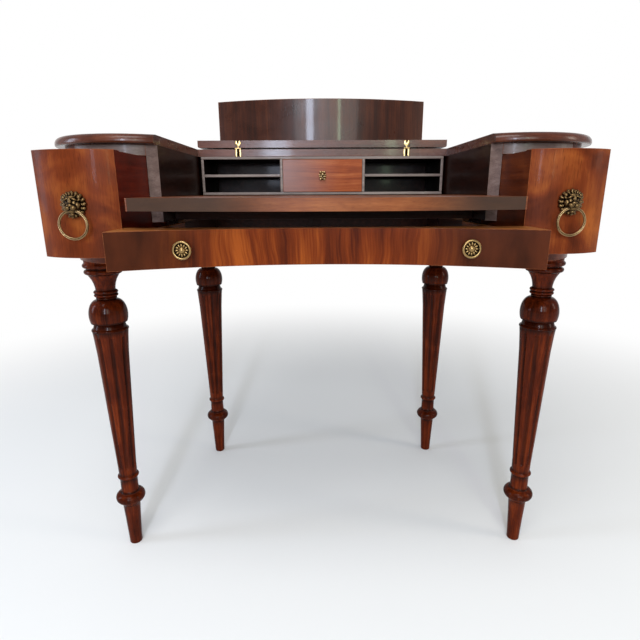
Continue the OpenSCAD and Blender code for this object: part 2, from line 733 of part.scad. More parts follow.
module lobe_sides(side, out) color("#7c1f14") drawn(out) on_side(side) behind_front()
    for (x = [lobe_x0 + CLEAR, lobe_x1 - side_t - CLEAR])
        block(x, x + side_t, 0, lobe_rear, lobe_drawer_z, lobe_side_top);

module lobe_back(side, out) color("#7c1f14") drawn(out) on_side(side)
    block(lobe_x0 + CLEAR + side_t, lobe_x1 - side_t - CLEAR, lobe_rear - side_t, lobe_rear,
        lobe_drawer_z, lobe_side_top);

module lobe_bottom(side, out) color("#8a6248") drawn(out) on_side(side) behind_front()
    block(lobe_x0 + CLEAR + side_t, lobe_x1 - side_t - CLEAR, 0, lobe_rear - side_t,
        lobe_drawer_z, lobe_drawer_z + bottom_t);

// Ring pull. The mask faces -Y with its middle at the origin, and the ring hangs through its mouth
mouth_z = -8.6;
mouth_y = -12;
mouth_r = ring_bar + 1.4;

module mask() {
    r = mask_w / 2;
    difference() {
        union() {
            rotate([90, 0, 0]) cylinder(r = r - 2, h = 5, $fn = 72);
            for (i = [0 : 13])
                rotate([0, 360 * i / 14, 0])
                    translate([0, -3.4, r - 3.2]) sphere(r = 3.2, $fn = 28);
            for (i = [0 : 10])
                rotate([0, 360 * i / 11 + 8, 0])
                    translate([0, -6, r - 7.6]) sphere(r = 3.4, $fn = 28);
            translate([0, -7.4, 1.4]) sphere(r = 8.6, $fn = 48);
            for (s = [-1, 1]) {
                translate([s * 5, -12.6, 4.6]) sphere(r = 2.9, $fn = 28);
                translate([s * 9.6, -7, 9.6]) sphere(r = 3.4, $fn = 28);
                translate([s * 4.6, -13.4, -4.2]) sphere(r = 4.2, $fn = 32);
            }
            translate([0, -12, 7]) sphere(r = 4, $fn = 32);
            translate([0, -15, 0.4]) sphere(r = 2.8, $fn = 28);
            translate([0, -14, 3.4]) sphere(r = 2.4, $fn = 28);
            translate([0, -11, -12.6]) sphere(r = 4.6, $fn = 32);
            translate([-6, mouth_y - mouth_r - 1.6, mouth_z - mouth_r - 1.6])
                cube([12, 16, 2 * mouth_r + 3.2]);
        }
        translate([-r, mouth_y, mouth_z]) rotate([0, 90, 0]) cylinder(r = mouth_r, h = 2 * r, $fn = 48);
        translate([-r, 0, -r]) cube([2 * r, 10, 2 * r]);
    }
}

module at_mask(side, out) {
    drawn(out) on_side(side)
        translate([mask_x, mask_face_y, lobe_drawer_z + mask_z])
            children();
}

// The pad behind the mask fills out to the curved front
module lion_mask(side, out) color("#8a7448") at_mask(side, out) difference() {
    union() {
        mask();
        rotate([90, 0, 0]) translate([0, 0, -4]) cylinder(r = mask_w / 2 - 2, h = 7, $fn = 72);
    }
    translate([lobe_c.x - mask_x, lobe_c.y - mask_face_y, -mask_w])
        cylinder(r = lobe_r - overhang, h = 2 * mask_w, $fn = 180);
}

module ring(side, out) color("#a58e5c") at_mask(side, out)
    translate([0, mouth_y, mouth_z - ring_r])
        rotate([90, 0, 0])
            rotate_extrude($fn = 96) translate([ring_r, 0]) circle(r = ring_bar, $fn = 32);

// Small drawer between the pigeonholes
module small_front() color("#a5563a") at_desk()
    block(-small_w / 2, small_w / 2, small_y, small_y + small_front_t, small_z, small_z + small_h);

module small_sides() color("#7a4a30") at_desk() both_sides()
    block(small_w / 2 - gallery_t, small_w / 2, small_y + small_front_t, small_rear, small_z, small_side_top);

module small_back() color("#7a4a30") at_desk()
    block(-small_w / 2 + gallery_t, small_w / 2 - gallery_t, small_rear - gallery_t, small_rear,
        small_z, small_side_top);

module small_bottom() color("#8a6248") at_desk()
    block(-small_w / 2 + gallery_t, small_w / 2 - gallery_t, small_y + small_front_t, small_rear - gallery_t,
        small_z, small_z + bottom_t - 1);

// Small brass pull with a lobed rim round a raised boss
module small_pull() color("#a58e5c") at_desk()
    translate([0, small_y, small_z + small_h / 2]) rotate([90, 0, 0]) {
        for (s = [-1, 1])
            translate([0, s * 3.6, 0]) cylinder(r = 9.2, h = 2, $fn = 60);
        for (s = [-1, 1])
            translate([0, s * 3.6, 1.6]) rotate_extrude($fn = 60) translate([7.6, 0]) circle(r = 1.5, $fn = 20);
        cylinder(r = 2.6, h = 8);
        translate([0, 0, 9]) sphere(r = 4.4, $fn = 40);
        for (s = [-1, 1])
            translate([0, s * 9.4, 2.7]) sphere(r = 2.6, $fn = 28);
    }

case_top();
inner_wall(-1);  // left_inner_wall
inner_wall(1);  // right_inner_wall
side_shell(-1);  // left_side_shell
side_shell(1);  // right_side_shell
back_panel();
color("#5a2b1c") lobe_rail(-1, top_rail_z, under_top);  // left_top_rail
color("#5a2b1c") lobe_rail(1, top_rail_z, under_top);  // right_top_rail
color("#5a2b1c") lobe_rail(-1, case_z, low_rail_top);  // left_low_rail
color("#5a2b1c") lobe_rail(1, case_z, low_rail_top);  // right_low_rail
lobe_floor(-1);  // left_floor
lobe_floor(1);  // right_floor
drawer_rail();
bed_board();
wide_runners();
wide_kickers();
cross_rail();
leg_blocks();
leg(-1, front_leg);  // left_front_leg
leg(1, front_leg);  // right_front_leg
leg(-1, rear_leg);  // left_rear_leg
leg(1, rear_leg);  // right_rear_leg
gallery_top();
gallery_floor();
gallery_side(-1);  // gallery_left_side
gallery_side(1);  // gallery_right_side
gallery_dividers();
gallery_shelves();
hinge_base_plates();
hinge_pins();
leaf();
fascia();
hinge_leaf_plates();
writing_slide();
wide_front();
wide_side(-1);  // wide_left_side
wide_side(1);  // wide_right_side
wide_back();
wide_bottom();
wide_knobs();
lobe_front(-1, left_out);  // left_drawer_front
lobe_sides(-1, left_out);  // left_drawer_sides
lobe_back(-1, left_out);  // left_drawer_back
lobe_bottom(-1, left_out);  // left_drawer_bottom
lion_mask(-1, left_out);  // left_lion_mask
ring(-1, left_out);  // left_ring
lobe_front(1, right_out);  // right_drawer_front
lobe_sides(1, right_out);  // right_drawer_sides
lobe_back(1, right_out);  // right_drawer_back
lobe_bottom(1, right_out);  // right_drawer_bottom
lion_mask(1, right_out);  // right_lion_mask
ring(1, right_out);  // right_ring
small_front();
small_sides();
small_back();
small_bottom();
small_pull();
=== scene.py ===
import math

import bmesh
import bpy
from mathutils import Matrix, Vector


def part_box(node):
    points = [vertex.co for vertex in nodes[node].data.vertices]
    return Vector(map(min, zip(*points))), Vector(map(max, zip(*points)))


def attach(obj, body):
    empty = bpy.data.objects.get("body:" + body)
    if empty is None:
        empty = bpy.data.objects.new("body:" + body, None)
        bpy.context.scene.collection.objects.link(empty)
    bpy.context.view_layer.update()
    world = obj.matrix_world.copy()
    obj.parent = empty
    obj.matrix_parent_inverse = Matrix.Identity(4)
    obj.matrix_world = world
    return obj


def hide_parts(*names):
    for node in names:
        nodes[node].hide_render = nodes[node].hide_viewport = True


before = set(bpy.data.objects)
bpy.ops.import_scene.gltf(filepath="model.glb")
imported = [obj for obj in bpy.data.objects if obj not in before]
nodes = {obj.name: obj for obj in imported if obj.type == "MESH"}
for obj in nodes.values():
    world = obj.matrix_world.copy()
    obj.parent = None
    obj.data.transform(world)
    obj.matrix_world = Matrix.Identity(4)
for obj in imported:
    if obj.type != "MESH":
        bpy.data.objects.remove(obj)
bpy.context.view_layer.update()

# Room. The camera stands a little over a metre before the lobes, just under the height of the top, and
# looks slightly down. The desk stands on a pale paper sweep in soft daylight.
FOCAL_PX = 477.33
FRAME_PX = 640
SENSOR_MM = 36
CAMERA_AT = Vector((-0.0143, -1.05747, 0.7448))
CAMERA_DOWN = math.radians(15.10)
CAMERA_RIGHT = math.radians(0.35)
CAMERA_ROLL = math.radians(0.25)


def add_node(tree, kind, inputs=None, **settings):
    """Adds a node, sets its settings, and gives each named input a value or another node's output."""
    node = tree.nodes.new(kind)
    for name, value in settings.items():
        setattr(node, name, value)
    for socket, value in (inputs or {}).items():
        if isinstance(value, bpy.types.NodeSocket):
            tree.links.new(value, node.inputs[socket])
        else:
            node.inputs[socket].default_value = value
    return node


def linear(hex_colour):
    """sRGB hex to linear colour with full opacity."""
    parts = [int(hex_colour[i:i + 2], 16) / 255 for i in (1, 3, 5)]
    return tuple(c / 12.92 if c <= 0.04045 else ((c + 0.055) / 1.055) ** 2.4 for c in parts) + (1.0,)


def start_material(name):
    """An empty material with its shader and output, and the tree that they are in."""
    material = bpy.data.materials.new(name)
    material.use_nodes = True
    tree = material.node_tree
    tree.nodes.clear()
    shader = add_node(tree, "ShaderNodeBsdfPrincipled")
    add_node(tree, "ShaderNodeOutputMaterial", {"Surface": shader.outputs[0]})
    return material, tree, shader


def link_mesh(name, mesh):
    """An object at the origin for a mesh whose place is in its points."""
    obj = bpy.data.objects.new(name, mesh)
    bpy.context.collection.objects.link(obj)
    return obj


camera_data = bpy.data.cameras.new("camera")
camera_data.sensor_width = SENSOR_MM
camera_data.lens = SENSOR_MM * FOCAL_PX / FRAME_PX
camera = bpy.data.objects.new("camera", camera_data)
bpy.context.collection.objects.link(camera)
ahead = Vector((math.sin(CAMERA_RIGHT) * math.cos(CAMERA_DOWN),
                math.cos(CAMERA_RIGHT) * math.cos(CAMERA_DOWN), -math.sin(CAMERA_DOWN)))
level_right = Vector((math.cos(CAMERA_RIGHT), -math.sin(CAMERA_RIGHT), 0))
level_down = ahead.cross(level_right)
right = math.cos(CAMERA_ROLL) * level_right + math.sin(CAMERA_ROLL) * level_down
down = -math.sin(CAMERA_ROLL) * level_right + math.cos(CAMERA_ROLL) * level_down
camera.matrix_world = Matrix.Translation(CAMERA_AT) @ Matrix((right, -down, -ahead)).transposed().to_4x4()
bpy.context.scene.camera = camera
bpy.context.scene.view_settings.view_transform = "Standard"


def lamp(name, at, aim, width, height, watts, colour):
    """A soft rectangular lamp that the camera doesn't see, turned towards a point."""
    data = bpy.data.lights.new(name, "AREA")
    data.shape = "RECTANGLE"
    data.size = width
    data.size_y = height
    data.energy = watts
    data.color = linear(colour)[:3]
    obj = bpy.data.objects.new(name, data)
    bpy.context.collection.objects.link(obj)
    obj.location = at
    obj.rotation_euler = (Vector(aim) - Vector(at)).to_track_quat("-Z", "Y").to_euler()
    obj.visible_camera = False


# Weak windows at both sides, a wide screen with two narrow windows before the desk, and a skylight. The
# narrow ones show as upright streaks in the polish.
lamp("left window", (-3.0, -0.5, 1.35), (0, -0.1, 0.7), 0.6, 1.5, 24, "#dfeaff")
lamp("right window", (3.0, -0.9, 1.5), (0, -0.1, 0.6), 0.6, 1.3, 15, "#fff3e4")
lamp("front screen", (0.2, -3.4, 1.6), (0, 0, 0.75), 2.3, 1.6, 38, "#ffffff")
lamp("front window", (-0.36, -3.3, 1.55), (0, 0.3, 0.9), 0.24, 1.5, 44, "#dde8ff")
lamp("side window", (0.66, -3.3, 1.55), (0, 0.3, 0.9), 0.08, 1.5, 8, "#dcffd4")
lamp("ceiling", (-0.4, -1.5, 3.2), (0, 0, 0.5), 1.5, 1.5, 42, "#ffffff")

world = bpy.data.worlds.new("soft room")
world.use_nodes = True
world.node_tree.nodes["Background"].inputs["Color"].default_value = linear("#f6f8fc")
world.node_tree.nodes["Background"].inputs["Strength"].default_value = 0.5
bpy.context.scene.world = world

# The sweep is one sheet that curves up far behind the desk. Far from the desk it shows the camera, and
# what reflects it, its own white, and near the desk it is lit as the desk is and keeps its shadow.
SWEEP_HALF = 9.0
SWEEP_FRONT = -7.0
SWEEP_BACK = 5.0
SWEEP_BEND = 1.5
SWEEP_TOP = 4.6
LIT_WITHIN = 0.9
WHITE_BEYOND = 2.2

sweep_line = [(SWEEP_FRONT, 0.0), (SWEEP_BACK, 0.0)]
sweep_line += [(SWEEP_BACK + SWEEP_BEND * math.sin(math.radians(turn)),
                SWEEP_BEND * (1 - math.cos(math.radians(turn)))) for turn in range(10, 91, 10)]
sweep_line.append((SWEEP_BACK + SWEEP_BEND, SWEEP_TOP))
sweep_mesh = bpy.data.meshes.new("paper_sweep")
sweep_mesh.from_pydata([(x, y, z) for y, z in sweep_line for x in (-SWEEP_HALF, SWEEP_HALF)], [],
                       [(2 * i, 2 * i + 1, 2 * i + 3, 2 * i + 2) for i in range(len(sweep_line) - 1)])
sweep_mesh.shade_smooth()
sweep = link_mesh("paper_sweep", sweep_mesh)
# Seamless paper: matt, and a little greyer than white, so that the shadow under the desk stays soft.
paper, tree, shader = start_material("white seamless paper")
shader.inputs["Base Color"].default_value = linear("#ececea")
shader.inputs["Roughness"].default_value = 0.9
shader.inputs["Specular IOR Level"].default_value = 0.1
place = add_node(tree, "ShaderNodeTexCoord")
distance = add_node(tree, "ShaderNodeVectorMath", {0: place.outputs["Object"]}, operation="LENGTH")
far = add_node(tree, "ShaderNodeMapRange",
               {"Value": distance.outputs["Value"], "From Min": LIT_WITHIN, "From Max": WHITE_BEYOND},
               interpolation_type="SMOOTHSTEP")
path = add_node(tree, "ShaderNodeLightPath")
seen = add_node(tree, "ShaderNodeMath", {0: path.outputs["Is Camera Ray"], 1: path.outputs["Is Glossy Ray"]},
                operation="MAXIMUM")
seen_all = add_node(tree, "ShaderNodeMath", {0: seen.outputs[0], 1: path.outputs["Is Transmission Ray"]},
                    operation="MAXIMUM")
white = add_node(tree, "ShaderNodeMath", {0: seen_all.outputs[0], 1: far.outputs[0]}, operation="MULTIPLY")
glow = add_node(tree, "ShaderNodeEmission", {"Color": (1, 1, 1, 1), "Strength": 1.0})
mix = add_node(tree, "ShaderNodeMixShader", {0: white.outputs[0], 1: shader.outputs[0], 2: glow.outputs[0]})
tree.links.new(mix.outputs[0], tree.nodes["Material Output"].inputs["Surface"])
sweep_mesh.materials.append(paper)

# Legs. Four turned mahogany legs with eight flutes each, painted near black as shade in the hollows and the
# turned grooves, French-polished, and held by a dowel into a block under the case.
MM = 0.001
ARRIS_ANGLE = math.radians(32)
# the sizes and outlines of the turning, in millimetres, and its points as (radius, height)
LEG_HEIGHT = 622
FLUTES = 8
FLUTE_RADIUS = 6.0
FLUTE_DEPTH = 2.8
FLUTE_FOOT = (19.03, 190.0)
FLUTE_BEND = (29.3, 440.0)
FLUTE_HEAD = (32.0, 472.0)
FLUTE_STEPS = 12
LAND_STEPS = 8
# share of full painted shade at the bottom of a flute
FLUTE_SHADE = 0.62
# the least half width at which the cutter still marks the leg, and a flute's least half angle in radians
LEAST_CUT = 0.4
LEAST_HALF_ANGLE = 0.04
# height, reach up and down, and strength of the painted shade in each turned groove and band
SHADED_GROOVES = ((99, 2.5, 1.0), (115, 12, 0.5), (129.5, 3, 1.0), (160.5, 2, 0.9), (171, 3, 0.7),
                   (486, 7, 0.75), (496, 9, 0.95), (503, 3, 0.9), (548.6, 2.6, 1.0), (552.4, 1.5, 1.0),
                   (558.6, 1.5, 1.0), (565, 1.6, 0.9), (526, 26, 0.45), (597, 2, 0.9), (607.5, 3, 1.0),
                   (601, 4, 0.45), (613, 4, 0.4))


def arc(cx, cz, r, start, end, steps):
    """Points along an arc in the plane of a turned outline, in degrees."""
    turns = [math.radians(start + (end - start) * i / steps) for i in range(steps + 1)]
    return [(cx + r * math.cos(t), cz + r * math.sin(t)) for t in turns]


def stretched_noise(tree, vector, scale, detail, **place):
    """Noise drawn out along one axis, as grain is. place turns or moves it."""
    mapped = add_node(tree, "ShaderNodeMapping", {"Vector": vector, "Scale": scale, **place})
    noise = add_node(tree, "ShaderNodeTexNoise",
                     {"Vector": mapped.outputs[0], "Scale": 1.0, "Detail": detail})
    return noise.outputs["Fac"]


def polished_wood(name, dark, middle, light, grain="X", cut_from=(0, 0, 0), ribbon=9.0, cloud=0.35,
                  roughness=0.3, gloss=0.08, coat=0.06, hollow_shade=None):
    """Polished mahogany: ribbon stripes, fibres, open pores and soft clouds under a clear film of polish.

    grain is the axis that the fibres run along, cut_from where in the plank the piece was cut, in metres,
    ribbon the width of the stripes in millimetres, cloud how blotchy it is, gloss how strongly the bare
    polish reflects, coat how much clear film lies on it, and hollow_shade the colour of the painted shade
    that lies in turned hollows.
    """
    material, tree, shader = start_material(name)
    turn = {"X": (0, 0, 0), "Y": (0, 0, -math.pi / 2), "Z": (0, math.pi / 2, 0)}[grain]
    place = add_node(tree, "ShaderNodeTexCoord")
    plank = add_node(tree, "ShaderNodeMapping",
                     {"Vector": place.outputs["Object"], "Rotation": turn, "Location": cut_from})
    wander = add_node(tree, "ShaderNodeTexNoise", {"Vector": plank.outputs[0], "Scale": 5.0, "Detail": 1.0})
    sway = add_node(tree, "ShaderNodeVectorMath",
                    {0: wander.outputs["Color"], 1: (0, 0.012, 0.012), 2: plank.outputs[0]},
                    operation="MULTIPLY_ADD")
    # stripes of interlocked grain, as wide as ribbon says and some 300 mm long
    stripe = stretched_noise(tree, sway.outputs[0], (3, 1000 / ribbon, 1000 / ribbon), 2.0)
    # fibres are drawn 2 mm wide, coarser than real ones, so that they show
    fibre = stretched_noise(tree, sway.outputs[0], (14, 500, 500), 3.0)
    # open pores, 0.6 mm wide and 12 mm long
    pore = stretched_noise(tree, sway.outputs[0], (80, 1600, 1600), 0.0)
    open_pore = add_node(tree, "ShaderNodeMapRange",
                         {"Value": pore, "From Min": 0.64, "From Max": 0.74, "To Max": 0.5})
    clouds = add_node(tree, "ShaderNodeTexNoise",
                      {"Vector": plank.outputs[0], "Scale": 13.0, "Detail": 3.0, "Distortion": 0.8})
    tone_fine = add_node(tree, "ShaderNodeMix", {"Factor": 0.4, "A": stripe, "B": fibre}, data_type="FLOAT")
    tone = add_node(tree, "ShaderNodeMix", {"Factor": cloud, "A": tone_fine.outputs["Result"],
                                            "B": clouds.outputs["Fac"]}, data_type="FLOAT")
    ramp = add_node(tree, "ShaderNodeValToRGB", {"Fac": tone.outputs["Result"]})
    ramp.color_ramp.elements[0].position = 0.33
    ramp.color_ramp.elements[0].color = linear(dark)
    ramp.color_ramp.elements[1].position = 0.68
    ramp.color_ramp.elements[1].color = linear(light)
    ramp.color_ramp.elements.new(0.5).color = linear(middle)
    pore_colour = add_node(tree, "ShaderNodeMix", {"Factor": open_pore.outputs[0], "A": ramp.outputs["Color"],
                                                   "B": linear(dark)}, data_type="RGBA")
    colour = pore_colour.outputs["Result"]
    if hollow_shade:
        # painted shade in the hollows, kept on the mesh as its own attribute
        hollow = add_node(tree, "ShaderNodeAttribute", attribute_name="hollow")
        shaded = add_node(tree, "ShaderNodeMix", {"Factor": hollow.outputs["Fac"], "A": colour,
                                                   "B": linear(hollow_shade)}, data_type="RGBA")
        colour = shaded.outputs["Result"]
    tree.links.new(colour, shader.inputs["Base Color"])
    worn = add_node(tree, "ShaderNodeMapRange",
                    {"Value": clouds.outputs["Fac"], "From Min": 0.3, "From Max": 0.7,
                     "To Min": roughness - 0.05, "To Max": roughness + 0.07})
    tree.links.new(worn.outputs[0], shader.inputs["Roughness"])
    grain_height = add_node(tree, "ShaderNodeMath", {0: fibre, 1: open_pore.outputs[0]}, operation="SUBTRACT")
    relief = add_node(tree, "ShaderNodeBump",
                      {"Height": grain_height.outputs[0], "Strength": 0.35, "Distance": 0.0001})
    tree.links.new(relief.outputs[0], shader.inputs["Normal"])
    shader.inputs["IOR"].default_value = 1.5
    shader.inputs["Specular IOR Level"].default_value = gloss
    shader.inputs["Coat Weight"].default_value = coat
    shader.inputs["Coat Roughness"].default_value = 0.07
    return material


leg_outline = [(0, 0)] + arc(10.7, 2, 2, -90, 0, 6)
leg_outline += [(13.4, 20), (14.6, 45), (15.8, 68), (16.8, 84), (17.6, 97), (18.6, 99), (19.8, 100.6),
                (19.8, 102.6)]
leg_outline += arc(18.1, 115, 11.4, -80, 80, 20) + [(19.6, 127.6), (19.6, 130), (18.2, 131.4), (17.4, 134)]
leg_outline += [(17.4, 147), (17.4, 160)] + arc(17.6, 165, 3.6, -80, 80, 14)
leg_outline += [(17.6, 170), (17.6, 173), (18.2, 177), (18.2, 180)]
taper = [z / 2 for z in range(363, 400)] + list(range(202, 440, 8))
leg_outline += [(18.2 + (29.3 - 18.2) * (z - 180) / 260, z) for z in taper]
shoulder = list(range(440, 466, 3)) + [z / 2 for z in range(932, 953)]
leg_outline += [(29.3 + (32 - 29.3) * (z - 440) / 36, z) for z in shoulder]
leg_outline += arc(31.6, 487.6, 2.4, -50, 60, 10) + [(30.4, 491.6), (28.4, 498.4), (27, 500.4), (27, 503)]
leg_outline += [(18 + 17.4 * math.cos(math.radians(turn)), 517 + 30 * math.sin(math.radians(turn)))
                for turn in range(-30, 79, 3)]
leg_outline += [(17.6, 547.4)] + arc(16.8, 549.8, 2, -60, 60, 8) + arc(19, 555.4, 2.7, -80, 80, 10)
leg_outline += arc(19.2, 561.6, 2.8, -80, 70, 10)
leg_outline += [(17.8, 566), (18.4, 572), (20, 579), (22.6, 586), (26.4, 592.5), (28.4, 595.6)]
leg_outline += arc(29.4, 601, 4.6, -75, 75, 12) + [(28.2, 606.6), (28.2, 608.6)]
leg_outline += arc(31.2, 613, 4.4, -70, 60, 10) + [(32.4, 618), (32.4, LEG_HEIGHT)]
leg_outline += [(10, LEG_HEIGHT), (10, 646), (0, 646)]


def flute_axis(z):
    """Radius of the middle of the flute cutter at a height, and how wide it still cuts there."""
    reach = FLUTE_RADIUS - FLUTE_DEPTH
    (r0, z0), (r1, z1), (r2, z2) = FLUTE_FOOT, FLUTE_BEND, FLUTE_HEAD
    at = min(max(z, z0), z2)
    r = r0 + (r1 - r0) * (at - z0) / (z1 - z0) if at < z1 else r1 + (r2 - r1) * (at - z1) / (z2 - z1)
    return r + reach, math.sqrt(max(0, FLUTE_RADIUS ** 2 - (z - at) ** 2))


def groove_shade(z):
    """How much painted shade lies at a height of the turned outline, from 0 to 1."""
    return max(most * max(0, 1 - abs(z - height) / reach) ** 0.7 for height, reach, most in SHADED_GROOVES)


def turned_leg(name, node):
    """The smooth leg that stands for one CAD leg, with columns of points that follow every arris."""
    low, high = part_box(node)
    cx, cy = (low.x + high.x) / 2, (low.y + high.y) / 2
    points, hollow = [], []
    for r, z in leg_outline[1:-1]:
        middle, cutter = flute_axis(z)
        half, cut = math.pi / FLUTES / 2, False
        if cutter > LEAST_CUT and FLUTE_FOOT[1] - FLUTE_RADIUS < z < FLUTE_HEAD[1] + FLUTE_RADIUS:
            cosine = (middle ** 2 + r ** 2 - cutter ** 2) / (2 * middle * r)
            if cosine < 1:
                half, cut = max(math.acos(cosine), LEAST_HALF_ANGLE), True
        for f in range(FLUTES):
            centre = 2 * math.pi * (f + 0.5) / FLUTES
            for i in range(FLUTE_STEPS + LAND_STEPS):
                if i < FLUTE_STEPS:
                    a = half * (2 * i / FLUTE_STEPS - 1)
                else:
                    a = half + (2 * math.pi / FLUTES - 2 * half) * (i - FLUTE_STEPS) / LAND_STEPS
                radius, depth = r, 0.0
                if cut and i < FLUTE_STEPS:
                    inside = cutter ** 2 - (middle * math.sin(a)) ** 2
                    if inside > 0:
                        radius = min(r, middle * math.cos(a) - math.sqrt(inside))
                        depth = (r - radius) / FLUTE_DEPTH
                points.append((cx + radius * MM * math.cos(centre + a),
                               cy + radius * MM * math.sin(centre + a), z * MM))
                hollow.append(max(FLUTE_SHADE * depth, groove_shade(z) if z < LEG_HEIGHT else 0))
    around = FLUTES * (FLUTE_STEPS + LAND_STEPS)
    rings = len(leg_outline) - 2
    faces = [(j * around + i, j * around + (i + 1) % around,
              (j + 1) * around + (i + 1) % around, (j + 1) * around + i)
             for j in range(rings - 1) for i in range(around)]
    faces += [tuple(reversed(range(around))), tuple(range((rings - 1) * around, rings * around))]
    mesh = bpy.data.meshes.new(name)
    mesh.from_pydata(points, [], faces)
    mesh.attributes.new("hollow", "FLOAT", "POINT").data.foreach_set("value", hollow)
    mesh.shade_smooth()
    mesh.set_sharp_from_angle(angle=ARRIS_ANGLE)
    return link_mesh(name, mesh)


# French-polished mahogany, turned across a lathe: long reddish fibres down the leg, deep gloss, and
# near-black painted shade in every groove, which makes the mouldings read as dark bands.
leg_wood = polished_wood("french-polished turned mahogany", "#260902", "#4d1906", "#702c0d", grain="Z",
                         ribbon=7.0, cloud=0.3, roughness=0.24, gloss=0.02, coat=0.12, hollow_shade="#080201")
for corner in ("left_front", "right_front", "left_rear", "right_rear"):
    leg = turned_leg("turned_" + corner + "_leg", corner + "_leg")
    leg.data.materials.append(leg_wood)
    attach(leg, "case")
    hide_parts(corner + "_leg")

# Case. Two inner walls, a bent side round each lobe and a straight back, glued up in mahogany, with
# curved rails over and under each lobe drawer. Every arris is eased by hand to about half a millimetre.
EASING = 0.6 * MM
WELDED_WITHIN = 0.000002
FLAT_WITHIN = math.radians(0.02)
FACING_WITHIN = 0.95


def eased_board(name, node, body, wood, easing=EASING, end_wood=None, facing=()):
    """A merged copy of a CAD board with eased arrises, which stands for it.

    end_wood is how its arrises look, and facing names other woods for the faces that look one way.
    """
    mesh = nodes[node].data.copy()
    mesh.name = name
    work = bmesh.new()
    work.from_mesh(mesh)
    bmesh.ops.remove_doubles(work, verts=work.verts, dist=WELDED_WITHIN)
    bmesh.ops.dissolve_limit(work, angle_limit=FLAT_WITHIN, verts=work.verts, edges=work.edges)
    work.to_mesh(mesh)
    work.free()
    mesh.materials.clear()
    mesh.materials.append(wood)
    mesh.materials.append(end_wood or wood)
    mesh.polygons.foreach_set("material_index", [0] * len(mesh.polygons))
    for way, face_wood in facing:
        mesh.materials.append(face_wood)
        for face in mesh.polygons:
            if face.normal.dot(Vector(way)) > FACING_WITHIN:
                face.material_index = len(mesh.materials) - 1
    mesh.shade_smooth()
    board = link_mesh(name, mesh)
    ease = board.modifiers.new("eased arrises", "BEVEL")
    ease.width = easing
    ease.segments = 2
    ease.limit_method = "ANGLE"
    ease.angle_limit = ARRIS_ANGLE
    ease.material = 1
    flatten = board.modifiers.new("flat faces", "WEIGHTED_NORMAL")
    flatten.mode = "FACE_AREA"
    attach(board, body)
    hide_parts(node)
    return board


def finish_node(node, material):
    """Gives a CAD node that stays as it is its real finish."""
    for place in nodes[node].material_slots:
        place.material = material


# Mahogany stained dark and French-polished. The walls of the well are painted near black as shade, the
# bent sides are redder, the rails over the lobe drawers are painted grey as a satin sheen, and the arrises
# show a paler line.
shaded_wall_wood = polished_wood("french-polished mahogany in painted shade", "#120604", "#1f0c07", "#31160e", grain="Y",
                          cut_from=(0.3, 0.1, 0.2), cloud=0.3, roughness=0.32, coat=0.05)
shell_wood = polished_wood("bent french-polished mahogany", "#2e1007", "#4c1d0b", "#682e14", grain="Y",
                           cut_from=(0.1, 0.4, 0.7), cloud=0.5, roughness=0.28, coat=0.08, gloss=0.12)
sheen_rail_wood = polished_wood("mahogany rail with painted sheen", "#4b3a34", "#66524b", "#7d6a62", grain="X",
                          cut_from=(0.8, 0.2, 0.1), cloud=0.3, roughness=0.36, gloss=0.25, coat=0.06)
pale_arris_wood = polished_wood("pale mahogany arris", "#54260f", "#7a3f20", "#95562f", grain="X",
                            cut_from=(0.2, 0.2, 0.5), cloud=0.3, roughness=0.36, coat=0.04)
for side, slant in (("left", 0.5), ("right", -0.5)):
    # the front edge slants by 30 degrees with the lobe's curve, and takes the rail's painted sheen
    eased_board(side + "_wall_board", side + "_inner_wall", "case", shaded_wall_wood,
                end_wood=sheen_rail_wood, facing=[((slant, -0.866, 0), sheen_rail_wood)])
    for name, node, wood in (("_bent_side", "_side_shell", shell_wood),
                             ("_upper_rail", "_top_rail", sheen_rail_wood),
                             ("_lower_rail", "_low_rail", shell_wood)):
        eased_board(side + name, side + node, "case", wood, end_wood=pale_arris_wood)
# The back stands to a wall: plain wood with a soft cloudy figure, and the same low gloss as the sides.
back_wood = polished_wood("plain polished mahogany back", "#2e1008", "#4d1f0d", "#693019", grain="X",
                          cut_from=(1.3, 0.6, 0.4), cloud=0.55, roughness=0.3, coat=0.08)
# The back's face towards the inside of the desk takes the walls' painted shade.
eased_board("back_board", "back_panel", "case", back_wood, end_wood=pale_arris_wood,
            facing=[((0, -1, 0), shaded_wall_wood)])

# Inside of the case. Floors, runners, kickers and dowel blocks are plain unpolished secondary wood, and
# the rail and the bed board under the slide are mahogany painted near black as shadow. All are glued and
# blocked in.
# Bare oak: dry, matt and brown, duller than the mahogany round it.
inside_wood = polished_wood("unpolished secondary oak", "#3a2214", "#563722", "#6f4b30", grain="Y",
                            cut_from=(0.5, 0.9, 0.3), ribbon=6.0, cloud=0.3, roughness=0.62, coat=0.0)
for node in ("left_floor", "right_floor", "wide_runners", "wide_kickers", "leg_blocks"):
    finish_node(node, inside_wood)
# Mahogany painted nearly black as shadow, with a dull shine, so that the well below the slide reads as a
# shadow.
well_shadow_wood = polished_wood("mahogany rail and bed in painted shadow", "#130704", "#221009", "#331a10", grain="X",
                             cut_from=(0.7, 0.5, 0.9), cloud=0.3, roughness=0.42, coat=0.03)
eased_board("straight_drawer_rail", "drawer_rail", "case", well_shadow_wood)
eased_board("slide_bed", "bed_board", "case", well_shadow_wood)
eased_board("tie_rail", "cross_rail", "case", well_shadow_wood)

# Top. One mahogany board cut out for the leaf, with a thumb moulding worked round its edge. The face is
# deep brown under a wide soft gloss, and the moulding is painted paler and greyer as a sheen.
top_wood = polished_wood("french-polished mahogany top", "#301409", "#4e2414", "#683722", grain="X",
                         cut_from=(0.4, 1.2, 0.2), ribbon=12.0, cloud=0.4, roughness=0.26, gloss=0.25,
                         coat=0.15)
sheen_edge_wood = polished_wood("edge of the top with painted sheen", "#3c2419", "#51362a", "#674c3e", grain="X",
                          cut_from=(0.4, 1.2, 0.2), ribbon=12.0, cloud=0.4, roughness=0.3, gloss=0.25,
                          coat=0.12)
eased_board("kidney_top", "case_top", "case", top_wood, end_wood=sheen_edge_wood)
